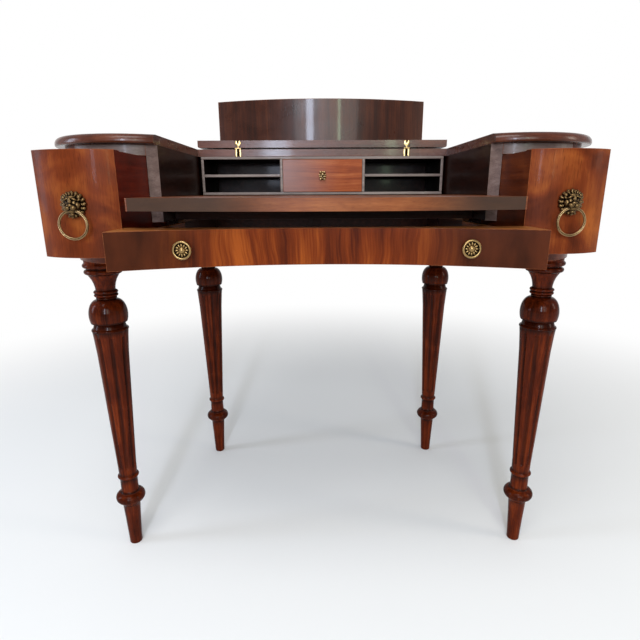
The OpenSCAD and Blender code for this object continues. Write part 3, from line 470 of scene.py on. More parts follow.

# Pigeonholes. Thin mahogany boards housed into each other, waxed rather than polished, painted near
# black as shade, and painted grey along their front edges as sheen.
# Waxed mahogany: painted almost black as the shade inside the pigeonholes, with a dull even shine, and front
# edges painted pale grey as sheen.
shaded_pigeon_wood = polished_wood("thin mahogany boards in painted shade", "#070403", "#0e0806", "#18100c", grain="X",
                            cut_from=(0.9, 0.3, 1.4), ribbon=6.0, cloud=0.3, roughness=0.4, coat=0.0)
shaded_upright_wood = polished_wood("upright mahogany boards in painted shade", "#070403", "#0e0806", "#18100c", grain="Z",
                             cut_from=(0.2, 0.8, 1.1), ribbon=6.0, cloud=0.3, roughness=0.4, coat=0.0)
pigeon_edge_sheen_wood = polished_wood("mahogany edge with painted sheen", "#5d504a", "#7a6b63", "#94867d", grain="X",
                          cut_from=(0.3, 0.3, 0.4), cloud=0.3, roughness=0.4, gloss=0.25, coat=0.05)
for name, node, wood in (("pigeonhole_roof", "gallery_top", shaded_pigeon_wood),
                         ("pigeonhole_floor", "gallery_floor", shaded_pigeon_wood),
                         ("pigeonhole_shelves", "gallery_shelves", shaded_pigeon_wood),
                         ("pigeonhole_left_end", "gallery_left_side", shaded_upright_wood),
                         ("pigeonhole_right_end", "gallery_right_side", shaded_upright_wood),
                         ("pigeonhole_dividers", "gallery_dividers", shaded_upright_wood)):
    eased_board(name, node, "case", wood, easing=0.9 * MM, end_wood=pigeon_edge_sheen_wood,
                facing=[((0, -1, 0), pigeon_edge_sheen_wood)])

# Leaf and fascia. The leaf is hinged to the back of the top, and the bent fascia glued under its front
# edge closes the desk's hollow front. Folded back, the fascia stands up behind and shows its inner face.
# The inner face has kept its polish: dark, glossy, with upright figure and long streaks of window light.
fascia_wood = polished_wood("glossy bent mahogany fascia", "#240c03", "#3a1707", "#50260f", grain="Z",
                            cut_from=(0.6, 0.1, 0.9), ribbon=14.0, cloud=0.25, roughness=0.3, gloss=0.22,
                            coat=0.26)
eased_board("hinged_leaf", "leaf", "leaf", top_wood, end_wood=sheen_edge_wood)
eased_board("bent_fascia", "fascia", "leaf", fascia_wood, end_wood=pale_arris_wood)

# Hinges. Two small brass butts let into the edges of the top and the leaf, each a heart-shaped plate that
# turns on a pin between the prongs of a forked one. Sizes in millimetres.
PLATE_WIDTH = 13.0
PLATE_FRONT = 0.3
PLATE_BACK = 2.3
PLATE_EASING = 0.4
BARREL = 1.45
KNUCKLE_EASING = 0.25
KNUCKLE_STEPS = 20
PLATE_ANGLE = math.radians(40)
# tarnish on a plate's points: rubbed clean on the faces, full on the plates that paint the slots' shade
RUBBED_CLEAN = -0.4
SLOT_SHADE = 1.2


def brass(name, bright, tarnish, roughness, cover):
    """Cast brass under brown tarnish, which fills the hollows and thins out over what the hand rubs."""
    material, tree, shader = start_material(name)
    place = add_node(tree, "ShaderNodeTexCoord")
    # blotches of tarnish some 4 mm wide
    blotch = add_node(tree, "ShaderNodeTexNoise",
                      {"Vector": place.outputs["Object"], "Scale": 260.0, "Detail": 4.0})
    hollow = add_node(tree, "ShaderNodeAttribute", attribute_name="hollow")
    depth = add_node(tree, "ShaderNodeMath", {0: blotch.outputs["Fac"], 1: hollow.outputs["Fac"]},
                     operation="ADD")
    grown = add_node(tree, "ShaderNodeMapRange", {"Value": depth.outputs[0], "From Min": 0.95 - cover,
                                                  "From Max": 1.25 - cover})
    colour = add_node(tree, "ShaderNodeMix",
                      {"Factor": grown.outputs[0], "A": linear(bright), "B": linear(tarnish)},
                      data_type="RGBA")
    tree.links.new(colour.outputs["Result"], shader.inputs["Base Color"])
    dull = add_node(tree, "ShaderNodeMapRange",
                    {"Value": grown.outputs[0], "To Min": roughness, "To Max": 0.6})
    tree.links.new(dull.outputs[0], shader.inputs["Roughness"])
    relief = add_node(tree, "ShaderNodeBump",
                      {"Height": blotch.outputs["Fac"], "Strength": 0.3, "Distance": 0.00008})
    tree.links.new(relief.outputs[0], shader.inputs["Normal"])
    shader.inputs["Metallic"].default_value = 1.0
    return material


# Bright brass: yellow, with sharp small highlights, and near black on the plates behind the hinges'
# slots, which is painted shade.
bright_brass = brass("hand-polished brass", "#c9ad78", "#160e08", 0.3, 0.1)


def close_rings(work, rings):
    """Faces between rings of as many points each, and over the last and the first."""
    count = len(rings[0])
    for a, b in zip(rings, rings[1:]):
        for i in range(count):
            work.faces.new((a[i], a[(i + 1) % count], b[(i + 1) % count], b[i]))
    work.faces.new(rings[-1])
    work.faces.new(list(reversed(rings[0])))


def cut_plate(work, outline, front, wear_and_shade, centre):
    """Adds a plate sawn to an outline of (x, z) points in millimetres, its front edge eased."""
    hollow = work.verts.layers.float.get("hollow") or work.verts.layers.float.new("hollow")
    rings = []
    for inset, y in ((0, PLATE_BACK), (0, front + PLATE_EASING), (0.12, front + 0.12), (PLATE_EASING, front)):
        ring = []
        for i, (x, z) in enumerate(outline):
            ax, az = outline[i - 1]
            bx, bz = outline[(i + 1) % len(outline)]
            along = Vector((bx - ax, bz - az)).normalized()
            point = work.verts.new(centre + MM * Vector((x - inset * along.y, y, z + inset * along.x)))
            point[hollow] = wear_and_shade
            ring.append(point)
        rings.append(ring)
    close_rings(work, rings)


def barrel(work, x0, x1, centre):
    """Adds one knuckle of a hinge, between two distances from the hinge's middle."""
    turns = [math.tau * i / KNUCKLE_STEPS for i in range(KNUCKLE_STEPS)]
    eased = BARREL - KNUCKLE_EASING
    close_rings(work, [[work.verts.new(centre + MM * Vector((x, r * math.cos(turn), r * math.sin(turn))))
                        for turn in turns]
                       for x, r in ((x0, eased), (x0 + KNUCKLE_EASING, BARREL),
                                    (x1 - KNUCKLE_EASING, BARREL), (x1, eased))])


def built(name, work):
    """A new mesh from what has been built in a bmesh."""
    mesh = bpy.data.meshes.new(name)
    work.to_mesh(mesh)
    work.free()
    return mesh


def hinge_piece(name, node, body, add_plates):
    """Both hinges' plates of one kind, which stand for their CAD node."""
    low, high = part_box(node)
    pin_low, pin_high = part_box("hinge_pins")
    work = bmesh.new()
    for x in (low.x + PLATE_WIDTH / 2 * MM, high.x - PLATE_WIDTH / 2 * MM):
        add_plates(work, Vector((x, (pin_low.y + pin_high.y) / 2, (pin_low.z + pin_high.z) / 2)))
    bmesh.ops.recalc_face_normals(work, faces=work.faces)
    mesh = built(name, work)
    mesh.materials.append(bright_brass)
    mesh.shade_smooth()
    mesh.set_sharp_from_angle(angle=PLATE_ANGLE)
    piece = link_mesh(name, mesh)
    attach(piece, body)
    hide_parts(node)


def leaf_plate(work, pin):
    """Heart-shaped head with a keyed notch, on a stem that turns round the pin."""
    side = [(2.2, 0.2), (2.1, 3.6), (3.0, 5.4), (5.0, 7.0), (6.3, 9.4), (6.5, 12.4), (6.1, 15.0),
            (4.8, 16.6), (3.0, 17.0), (1.9, 16.4), (1.8, 14.6), (1.5, 12.4), (0.8, 11.2)]
    outline = side + [(-x, z) for x, z in reversed(side)]
    cut_plate(work, outline, PLATE_FRONT, RUBBED_CLEAN, pin)
    # a dark plate behind the keyed notch, as painted shade
    cut_plate(work, [(2.4, 11.2), (2.4, 17.2), (-2.4, 17.2), (-2.4, 11.2)], 1.7, SLOT_SHADE, pin)
    barrel(work, -2.3, 2.3, pin)


def top_plate(work, pin):
    """Two upright prongs joined at the foot, each ending in a knuckle, with a dark plate in the slot between
    them as painted shade.
    """
    for s in (1, -1):
        prong = [(2.7, -17.3), (6.4, -17.3), (6.5, -9.0), (6.5, -1.0), (6.2, 0.0), (3.0, 0.0), (2.7, -1.0),
                 (2.6, -9.0)]
        outline = prong if s > 0 else [(-x, z) for x, z in reversed(prong)]
        cut_plate(work, outline, PLATE_FRONT, RUBBED_CLEAN, pin)
        barrel(work, min(2.6 * s, 6.5 * s), max(2.6 * s, 6.5 * s), pin)
    cut_plate(work, [(-2.8, -17.3), (2.8, -17.3), (2.8, -1.6), (-2.8, -1.6)], 1.6, SLOT_SHADE, pin)


hinge_piece("heart_hinge_plates", "hinge_leaf_plates", "leaf", leaf_plate)
hinge_piece("forked_hinge_plates", "hinge_base_plates", "case", top_plate)
finish_node("hinge_pins", bright_brass)


# Writing slide. A mahogany board with a bowed front edge, which runs on the bed with its ears in grooves of
# the walls, and is drawn out to write on.
def faded_across(wood, start, end, most, colour, middle=None):
    """Lets a wood go over to another colour towards one side, or both ways from a middle, in metres."""
    tree = wood.node_tree
    shader = tree.nodes["Principled BSDF"]
    place = add_node(tree, "ShaderNodeTexCoord")
    across = add_node(tree, "ShaderNodeSeparateXYZ", {0: place.outputs["Object"]}).outputs["X"]
    if middle is not None:
        off_centre = add_node(tree, "ShaderNodeMath", {0: across, 1: middle}, operation="SUBTRACT")
        across = add_node(tree, "ShaderNodeMath", {0: off_centre.outputs[0]}, operation="ABSOLUTE").outputs[0]
    faded = add_node(tree, "ShaderNodeMapRange",
                     {"Value": across, "From Min": start, "From Max": end, "To Max": most},
                     interpolation_type="SMOOTHSTEP")
    mixed = add_node(tree, "ShaderNodeMix",
                     {"Factor": faded.outputs[0], "A": shader.inputs["Base Color"].links[0].from_socket,
                      "B": linear(colour)}, data_type="RGBA")
    tree.links.new(mixed.outputs["Result"], shader.inputs["Base Color"])


# Satin mahogany: the red-brown face has lost its high gloss where papers and sleeves slid over it.
slide_wood = polished_wood("satin mahogany slide", "#50240f", "#6f391c", "#8a5430", grain="X",
                           cut_from=(1.1, 0.7, 0.6), ribbon=10.0, cloud=0.4, roughness=0.34, gloss=0.2)
# The front edge was lipped in brighter orange wood. Its ends are painted dark grey as a reflection, and
# the middle stays orange.
slide_lip = polished_wood("slide edge with painted reflection at its ends", "#5c2b10", "#783f1b", "#91562c", grain="X",
                          cut_from=(0.6, 0.2, 0.9), ribbon=10.0, cloud=0.4, roughness=0.34, gloss=0.2)
# painted reflection: the lip goes dark grey towards both ends
faded_across(slide_lip, 0.05, 0.2, 0.9, "#30261f", middle=0.03)
eased_board("writing_board", "writing_slide", "slide", slide_wood, easing=1.2 * MM,
            end_wood=slide_lip, facing=[((0, -1, 0), slide_lip)])

# Wide drawer. Its hollow front is sawn from thick mahogany and faced with crotch veneer, matched in the
# middle, whose flame stripes stand upright and fade out to plain brown at the ends.
FLAME_WIDTH = 0.20
STRIPE_MM = 13.0
BAND_MM = 44.0
PLANED_SHORT = 0.999
# Crotch veneer under a thin worn polish: flames of orange brown on dark brown, nearly without gloss.
flame_veneer, tree, shader = start_material("crotch mahogany veneer")
place = add_node(tree, "ShaderNodeTexCoord")
lean = add_node(tree, "ShaderNodeTexNoise", {"Vector": place.outputs["Object"], "Scale": 9.0, "Detail": 2.0})
swayed = add_node(tree, "ShaderNodeVectorMath",
                  {0: lean.outputs["Color"], 1: (0.03, 0, 0.0), 2: place.outputs["Object"]},
                  operation="MULTIPLY_ADD").outputs[0]
stripe = stretched_noise(tree, swayed, (1000 / STRIPE_MM, 2, 5), 3.0, Rotation=(0, 0.12, 0))
band = stretched_noise(tree, swayed, (1000 / BAND_MM, 2, 7), 1.0, Rotation=(0, 0.2, 0), Location=(1.7, 0, 0))
banded = add_node(tree, "ShaderNodeMix", {"Factor": 0.48, "A": stripe, "B": band}, data_type="FLOAT")
# fibres, drawn 2 mm wide so that they show
fibre = stretched_noise(tree, swayed, (420, 20, 16), 3.0)
tone = add_node(tree, "ShaderNodeMix", {"Factor": 0.22, "A": banded.outputs["Result"], "B": fibre},
                data_type="FLOAT")
flame = add_node(tree, "ShaderNodeValToRGB", {"Fac": tone.outputs["Result"]})
plain = add_node(tree, "ShaderNodeValToRGB", {"Fac": stretched_noise(tree, swayed, (30, 60, 14), 4.0)})
for ramp, stops in ((flame, ((0.38, "#441706"), (0.62, "#904516"))),
                    (plain, ((0.3, "#2e1307"), (0.7, "#48200e")))):
    for point, (position, colour) in zip(ramp.color_ramp.elements, stops):
        point.position = position
        point.color = linear(colour)
flame.color_ramp.elements.new(0.5).color = linear("#6a2a0b")
across = add_node(tree, "ShaderNodeSeparateXYZ", {0: swayed})
outwards = add_node(tree, "ShaderNodeMath", {0: across.outputs["X"]}, operation="ABSOLUTE")
fade = add_node(tree, "ShaderNodeMapRange",
                {"Value": outwards.outputs[0], "From Min": FLAME_WIDTH - 0.09, "From Max": FLAME_WIDTH + 0.05,
                 "To Min": 1.0, "To Max": 0.0}, interpolation_type="SMOOTHSTEP")
veneer = add_node(tree, "ShaderNodeMix",
                  {"Factor": fade.outputs[0], "A": plain.outputs["Color"], "B": flame.outputs["Color"]},
                  data_type="RGBA")
tree.links.new(veneer.outputs["Result"], shader.inputs["Base Color"])
relief = add_node(tree, "ShaderNodeBump", {"Height": fibre, "Strength": 0.25, "Distance": 0.0001})
tree.links.new(relief.outputs[0], shader.inputs["Normal"])
shader.inputs["Roughness"].default_value = 0.32
shader.inputs["Specular IOR Level"].default_value = 0.05
shader.inputs["Coat Weight"].default_value = 0.02
shader.inputs["Coat Roughness"].default_value = 0.08
# The faces that look up are a lighter orange, and the edges of the veneer are worn red-brown.
lip_wood = polished_wood("orange mahogany lip", "#74401c", "#9c6030", "#b57a45", grain="X",
                         cut_from=(0.4, 0.4, 0.4), cloud=0.3, roughness=0.36, coat=0.04)
worn_front = polished_wood("worn edge of the drawer front", "#4c2210", "#713a1d", "#8d5532", grain="X",
                           cut_from=(0.1, 0.7, 0.2), cloud=0.3, roughness=0.36, coat=0.03)
flame_front = eased_board("flame_drawer_front", "wide_front", "wide_drawer", flame_veneer,
                          end_wood=worn_front, facing=[((0, 0, 1), lip_wood)])
# Both ends are planed a third of a millimetre short, so that the front closes freely between the lobes.
flame_front.data.transform(Matrix.Diagonal((PLANED_SHORT, 1, 1, 1)))
# The sides are plainer orange-brown wood with a satin polish, and the bottom is dry, brown and matt.
drawer_wood = polished_wood("polished mahogany drawer side", "#3a190c", "#5e2e17", "#7f4626", grain="Y",
                            cut_from=(0.2, 0.6, 0.3), cloud=0.3, roughness=0.36, coat=0.05)
for name, node in (("wide_drawer_left_side", "wide_left_side"), ("wide_drawer_right_side", "wide_right_side"),
                   ("wide_drawer_back", "wide_back")):
    eased_board(name, node, "wide_drawer", drawer_wood, end_wood=lip_wood,
                facing=[((0, 0, 1), lip_wood)])
bottom_wood = polished_wood("plain drawer bottom", "#38200f", "#533420", "#6b482e", grain="X",
                            cut_from=(0.5, 0.5, 1.5), ribbon=8.0, cloud=0.3, roughness=0.55, coat=0.0)
for node in ("wide_bottom", "left_drawer_bottom", "right_drawer_bottom", "small_bottom"):
    finish_node(node, bottom_wood)

# Knobs of the wide drawer. Cast and antiqued brass: a rolled rim, a dark sunk ring, a flower of twelve
# petals round a centre button, on a turned shank screwed through the front.
KNOB_RADIUS = 13.5 * MM
KNOB_LENGTH = 20 * MM
PETALS = 12
PETAL_REACH = 15.8 * MM
PETAL_RING = 7.0 * MM
PETAL_SIZE = (2.6 * MM, 1.2 * MM, 1.35 * MM)
RUBBED_BARE = -0.6


def spun(name, outline, centre):
    """A closed solid spun about a line through centre towards the front, from (radius, reach) points."""
    around = 64
    work = bmesh.new()
    rings = []
    for r, reach in outline:
        if r == 0:
            rings.append([work.verts.new(centre + Vector((0, -reach, 0)))])
            continue
        rings.append([work.verts.new(centre + Vector((r * math.cos(2 * math.pi * i / around), -reach,
                                                      r * math.sin(2 * math.pi * i / around))))
                      for i in range(around)])
    for a, b in zip(rings, rings[1:]):
        for i in range(around):
            ring = [a[i % len(a)], a[(i + 1) % len(a)], b[(i + 1) % len(b)], b[i % len(b)]]
            work.faces.new(list(dict.fromkeys(ring)))
    bmesh.ops.recalc_face_normals(work, faces=work.faces)
    return built(name, work)


def ring_of_petals_tree(material):
    """Geometry Nodes: petals set round a centre in the plane that faces the front."""
    tree = bpy.data.node_groups.new("ring of petals", "GeometryNodeTree")
    for label, kind in (("Geometry", "NodeSocketGeometry"), ("Petals", "NodeSocketInt"),
                        ("Centre", "NodeSocketVector"), ("Ring Radius", "NodeSocketFloat"),
                        ("Petal Size", "NodeSocketVector"), ("Start", "NodeSocketFloat"),
                        ("Lean", "NodeSocketFloat")):
        tree.interface.new_socket(label, in_out="INPUT", socket_type=kind)
    tree.interface.new_socket("Geometry", in_out="OUTPUT", socket_type="NodeSocketGeometry")
    given = add_node(tree, "NodeGroupInput")
    index = add_node(tree, "GeometryNodeInputIndex")
    share = add_node(tree, "ShaderNodeMath", {0: index.outputs[0], 1: given.outputs["Petals"]},
                     operation="DIVIDE")
    angle = add_node(tree, "ShaderNodeMath", {0: share.outputs[0], 1: 2 * math.pi, 2: given.outputs["Start"]},
                     operation="MULTIPLY_ADD")
    turned = add_node(tree, "ShaderNodeCombineXYZ", {"Y": angle.outputs[0]})
    leaning = add_node(tree, "ShaderNodeMath", {0: angle.outputs[0], 1: given.outputs["Lean"]},
                       operation="ADD")
    facing = add_node(tree, "ShaderNodeCombineXYZ", {"Y": leaning.outputs[0]})
    reach = add_node(tree, "ShaderNodeCombineXYZ", {"X": given.outputs["Ring Radius"]})
    spot = add_node(tree, "ShaderNodeVectorRotate",
                    {"Vector": reach.outputs[0], "Rotation": turned.outputs[0]}, rotation_type="EULER_XYZ")
    where = add_node(tree, "ShaderNodeVectorMath", {0: spot.outputs[0], 1: given.outputs["Centre"]},
                     operation="ADD")
    points = add_node(tree, "GeometryNodePoints",
                      {"Count": given.outputs["Petals"], "Position": where.outputs[0]})
    petal = add_node(tree, "GeometryNodeMeshUVSphere", {"Segments": 14, "Rings": 10, "Radius": 1.0})
    heading = add_node(tree, "FunctionNodeEulerToRotation", {0: facing.outputs[0]})
    placed = add_node(tree, "GeometryNodeInstanceOnPoints",
                      {"Points": points.outputs[0], "Instance": petal.outputs[0],
                       "Rotation": heading.outputs[0], "Scale": given.outputs["Petal Size"]})
    joined = add_node(tree, "GeometryNodeJoinGeometry", {0: placed.outputs[0]})
    tree.links.new(given.outputs["Geometry"], joined.inputs[0])
    real = add_node(tree, "GeometryNodeRealizeInstances", {0: joined.outputs[0]})
    smooth = add_node(tree, "GeometryNodeSetShadeSmooth", {0: real.outputs[0]})
    finish = add_node(tree, "GeometryNodeSetMaterial", {0: smooth.outputs[0], "Material": material})
    add_node(tree, "NodeGroupOutput", {0: finish.outputs[0]})
    return tree


def baked(obj, name):
    """The evaluated shape of an object with a node tree, as a plain mesh in a new object."""
    bpy.context.view_layer.update()
    mesh = bpy.data.meshes.new_from_object(obj.evaluated_get(bpy.context.evaluated_depsgraph_get()))
    mesh.name = name
    bpy.data.objects.remove(obj)
    return link_mesh(name, mesh)


def set_inputs(modifier, values):
    """Sets a Geometry Nodes modifier's named inputs by their sockets' identifiers."""
    for item in modifier.node_group.interface.items_tree:
        if item.item_type == "SOCKET" and item.in_out == "INPUT" and item.name in values:
            modifier[item.identifier] = values[item.name]


def joined_mesh(name, meshes):
    """Several meshes in one."""
    work = bmesh.new()
    for mesh in meshes:
        work.from_mesh(mesh)
    return built(name, work)


# Antiqued brass: worn yellow on what stands proud, brown-black in every hollow.
old_brass = brass("antiqued cast brass", "#94794f", "#1a110a", 0.34, 0.3)
petal_tree = ring_of_petals_tree(old_brass)
low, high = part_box("wide_knobs")
# (radius, reach from the drawer's face) in millimetres: shank, rolled rim, sunk ring and button
knob_outline = [(0, 0.0), (8.4, 0.0), (8.4, 1.4), (7.4, 2.2), (5.4, 3.6), (4.4, 5.4), (4.2, 8), (5.2, 10.2),
                (8, 12.2), (11.4, 13.6)]
knob_outline += arc(11.7, 15.8, 1.8, -60, 130, 14)
knob_outline += [(9.9, 16.4), (9.6, 15.6), (8.2, 15.4), (4.4, 15.4), (4.0, 16.2)]
knob_outline += arc(0, 14.4, 5.2, 22, 90, 8)
outline = [(r * MM if r > 0.01 else 0, reach * MM) for r, reach in knob_outline]
knob_meshes = []
for x in (low.x + KNOB_RADIUS, high.x - KNOB_RADIUS):
    centre = Vector((x, low.y + KNOB_LENGTH, (low.z + high.z) / 2))
    blank = link_mesh("knob_blank", spun("knob_blank", outline, centre))
    petals = blank.modifiers.new("ring of petals", "NODES")
    petals.node_group = petal_tree
    set_inputs(petals, {"Petals": PETALS, "Centre": centre + Vector((0, -PETAL_REACH, 0)),
                        "Ring Radius": PETAL_RING, "Petal Size": PETAL_SIZE})
    knob_meshes.append(baked(blank, "knob"))
knobs = link_mesh("brass_knobs", joined_mesh("brass_knobs", [k.data for k in knob_meshes]))
for knob in knob_meshes:
    bpy.data.objects.remove(knob)


def settle_tarnish(mesh, spread, full):
    """Keeps on the mesh how deep each point lies in a hollow, as a share of full, for the tarnish.

    spread is how many neighbours away the surface is levelled, and full is in millimetres.
    """
    links = [[] for _ in mesh.vertices]
    for edge in mesh.edges:
        a, b = edge.vertices
        links[a].append(b)
        links[b].append(a)
    start = [v.co.copy() for v in mesh.vertices]
    now = start
    for _ in range(spread):
        now = [sum((now[n] for n in near), Vector()) / len(near) if near else p
               for p, near in zip(now, links)]
    mesh.attributes.new("hollow", "FLOAT", "POINT").data.foreach_set(
        "value", [min(1.0, max(RUBBED_BARE, (smooth - p).dot(v.normal) / (full * MM)))
                  for p, smooth, v in zip(start, now, mesh.vertices)])


def finish_casting(mesh, metal, spread, full, sharp):
    """Tarnishes a casting and gives it its metal, with creases where it turns by more than sharp degrees."""
    settle_tarnish(mesh, spread, full)
    mesh.materials.clear()
    mesh.materials.append(metal)
    mesh.shade_smooth()
    mesh.set_sharp_from_angle(angle=math.radians(sharp))


finish_casting(knobs.data, old_brass, spread=10, full=0.5, sharp=50)
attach(knobs, "wide_drawer")
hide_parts("wide_knobs")

# Lobe drawers. Deep drawers with bent fronts, faced with mottled mahogany veneer laid upright, sides and
# back in red-stained mahogany.
SIDE_COLOURS = {"left": ("#300702", "#541206", "#76240e"), "right": ("#361104", "#57230c", "#7a3c19")}
for side, cut in (("left", (0.0, 0.0, 0.0)), ("right", (0.7, 0.5, 0.3))):
    # Mottled veneer: broad soft blotches of red-brown in upright stripes, under a dull polish. The sides are
    # stained red, and glossier than the front.
    front_wood = polished_wood(side + " mottled mahogany veneer", "#3b1506", "#652a0e", "#8c491c", grain="Z",
                               cut_from=cut, ribbon=24.0, cloud=0.7, roughness=0.42, gloss=0.06, coat=0.03)
    side_wood = polished_wood(side + " red-stained drawer side", *SIDE_COLOURS[side], grain="Y", cut_from=cut,
                              cloud=0.45, roughness=0.34, gloss=0.12, coat=0.05)
    body = side + "_drawer"
    eased_board(side + "_bent_front", body + "_front", body, front_wood,
                end_wood=pale_arris_wood, facing=[((1, 0, 0), side_wood), ((-1, 0, 0), side_wood)])
    for name, part in (("_drawer_side_pair", "_sides"), ("_drawer_back_board", "_back")):
        eased_board(side + name, body + part, body, side_wood, end_wood=pale_arris_wood)

# Lion masks. Cast brass heads with the ring in the mouth, pinned to the bent fronts through a round pad.
# The dark antiquing is rubbed off the muzzle, the brows and the tips of the mane.
mask_brass = brass("dark antiqued cast brass", "#665033", "#120b07", 0.34, 0.6)
mask_tree = ring_of_petals_tree(mask_brass)
# centre, half sizes and turn about the line towards the front of each swelling, in millimetres and degrees
MASK_MIDDLE = [((0, 0, 0), (17, 6, 17), 0), ((0, -6, 1.0), (12.0, 8.6, 12.5), 0),
               ((0, -9.8, 8.6), (8.2, 5.2, 4.8), 0), ((0, -13.0, 3.8), (2.9, 3.6, 6.2), 0),
               ((0, -16.6, -1.4), (3.9, 2.0, 2.3), 0),
               ((0, -12, -8.8), (6.4, 4.6, 4.2), 0), ((0, -10.5, -13.6), (4.6, 4.2, 3.2), 0),
               ((0, -8.5, -17.2), (2.6, 3, 3.0), 0), ((0, -10.8, 14.2), (1.7, 3.2, 3.4), 0)]
MASK_SIDE = [((5.4, -12.9, 7.2), (5.0, 2.6, 1.8), 22), ((5.4, -11.9, 3.8), (1.9, 1.7, 1.3), 0),
             ((8.2, -9.2, -1.2), (4.4, 4.2, 5.2), -20), ((4.1, -14.6, -4.9), (4.9, 4.1, 3.8), 0),
             ((5.2, -11.4, -7.2), (2.2, 3.4, 3.2), 15), ((4.4, -8, -15.8), (2.4, 3.2, 3.4), -25),
             ((10.6, -8.8, 9.6), (3.2, 2.6, 3.4), 40), ((3.8, -10.6, 13.6), (1.6, 3.0, 3.6), 24),
             ((7.4, -9.8, 12.2), (1.6, 2.8, 3.4), 46), ((10.4, -9.2, 5.4), (1.6, 2.4, 3.2), 70)]
# locks, radius, depth, half sizes, start and lean of each row of the mane
MANE = ((16, 15.6, -3.6, (3.6, 3.2, 2.7), 0.0, 0.55), (15, 13.4, -5.2, (3.1, 2.8, 2.1), 0.2, -0.6))
# the mouth's half width, its radius in the middle, and how much wider it is at its ends, in millimetres
MOUTH_HALF = 8.5
MOUTH_RADIUS = 2.5
MOUTH_FLARE = 2.0
MASK_GRAIN = 0.45 * MM
SLIVER = 0.02 * MM
RING_BAR = 2.0
RING_RADIUS = 20 * MM
MOUTH_BELOW = 8.6 * MM
MOUTH_BEFORE = 12 * MM
# the radius and the middle of the bent front's curve, and the height of the cut that follows it
LOBE_FACE = 123.7 * MM
LOBE_CENTRE = 354.3 * MM
SEAT_HEIGHT = 0.1


def lumps(name, shapes, centre):
    """Ellipsoids that a casting is melted from, on one mesh."""
    work = bmesh.new()
    for at, size, turn in shapes:
        place = (Matrix.Translation(centre + MM * Vector(at)) @ Matrix.Rotation(math.radians(turn), 4, "Y")
                 @ Matrix.Diagonal((size[0] * MM, size[1] * MM, size[2] * MM, 1)))
        bmesh.ops.create_uvsphere(work, u_segments=24, v_segments=16, radius=1.0, matrix=place)
    return link_mesh(name, built(name, work))


def mirrored(shapes):
    """Swellings of one side, and the same on the other side."""
    return shapes + [((-x, y, z), size, -turn) for (x, y, z), size, turn in shapes]


def melt(casting, grain, cutters):
    """Joins the swellings in one skin with faces as wide as grain, smooths it, and cuts it with the cutters."""
    skin = casting.modifiers.new("one skin", "REMESH")
    skin.mode = "VOXEL"
    skin.voxel_size = grain
    soften = casting.modifiers.new("soften", "SMOOTH")
    soften.factor = 0.5
    soften.iterations = 2
    for cutter in cutters:
        cut = casting.modifiers.new("cut", "BOOLEAN")
        cut.object = cutter
        cut.solver = "EXACT"
    whole = baked(casting, casting.name)
    for cutter in cutters:
        bpy.data.objects.remove(cutter)
    # The cuts leave slivers along their edges. They are merged, and what then lies folded on itself goes.
    work = bmesh.new()
    work.from_mesh(whole.data)
    bmesh.ops.triangulate(work, faces=work.faces)
    bmesh.ops.remove_doubles(work, verts=work.verts, dist=SLIVER)
    bmesh.ops.dissolve_degenerate(work, edges=work.edges, dist=SLIVER / 10)
    same = {}
    for face in work.faces:
        same.setdefault(frozenset(v.index for v in face.verts), []).append(face)
    bmesh.ops.delete(work, geom=[f for faces in same.values() if len(faces) > 1 for f in faces],
                     context="FACES_ONLY")
    # Crumbs that the cuts leave loose go as well, so that the casting is one closed skin.
    found, skins = set(), []
    for start in work.verts:
        skin, reached = [], [start]
        while reached:
            vert = reached.pop()
            if vert not in found:
                found.add(vert)
                skin.append(vert)
                reached.extend(link.other_vert(vert) for link in vert.link_edges)
        skins.append(skin)
    crumbs = sorted(skins, key=len)[:-1]
    bmesh.ops.delete(work, geom=[vert for skin in crumbs for vert in skin], context="VERTS")
    work.to_mesh(whole.data)
    work.free()
    return whole


low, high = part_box("right_ring")
centre = Vector(((low.x + high.x) / 2, (low.y + high.y) / 2 + MOUTH_BEFORE,
                 high.z - RING_BAR * MM + MOUTH_BELOW))
mask = lumps("right_lion_head", MASK_MIDDLE + mirrored(MASK_SIDE), centre)
for count, radius, depth, size, start, lean in MANE:
    locks = mask.modifiers.new("locks of the mane", "NODES")
    locks.node_group = mask_tree
    set_inputs(locks, {"Petals": count, "Centre": centre + Vector((0, depth * MM, 0)),
                       "Ring Radius": radius * MM, "Petal Size": tuple(MM * v for v in size),
                       "Start": start, "Lean": lean})
# The mouth is a hole across the head that widens outwards, as the ring swings forward in it.
mouth_line = [((MOUTH_RADIUS + (abs(x) / MOUTH_HALF) ** 2 * MOUTH_FLARE) * MM, x * MM)
              for x in (-MOUTH_HALF, -7, -5, -3, 0, 3, 5, 7, MOUTH_HALF)]
mouth_mesh = spun("mouth", [(0, -MOUTH_HALF * MM)] + mouth_line + [(0, MOUTH_HALF * MM)], Vector())
mouth_mesh.transform(Matrix.Translation(centre + Vector((0, -MOUTH_BEFORE, -MOUTH_BELOW)))
                     @ Matrix.Rotation(math.radians(90), 4, "Z"))
# The back is cut to the curve of the bent front, which is read from the front's own points.
front_y = min(v.co.y for v in nodes["right_drawer_front"].data.vertices)
seat = bmesh.new()
bmesh.ops.create_cone(seat, cap_ends=True, segments=360, radius1=LOBE_FACE, radius2=LOBE_FACE,
                      depth=SEAT_HEIGHT,
                      matrix=Matrix.Translation((LOBE_CENTRE, front_y + LOBE_FACE, centre.z)))
mask = melt(mask, MASK_GRAIN, [link_mesh("mouth", mouth_mesh), link_mesh("seat", built("seat", seat))])
finish_casting(mask.data, mask_brass, spread=18, full=0.6, sharp=55)
other = mask.data.copy()
further_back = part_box("left_ring")[0].y - low.y
other.transform(Matrix.Translation((0, further_back, 0)) @ Matrix.Diagonal((-1, 1, 1, 1)))
other.flip_normals()
for side, piece in (("right", mask), ("left", link_mesh("left_lion_head", other))):
    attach(piece, side + "_drawer")
    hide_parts(side + "_lion_mask")

# Rings. Each is cast in one with a groove along its front and back, and hangs loose in the lion's mouth.
# Fingers keep the two beads beside the groove pale.
ring_brass = brass("pale handled brass", "#8f7552", "#1a110a", 0.34, 0.16)
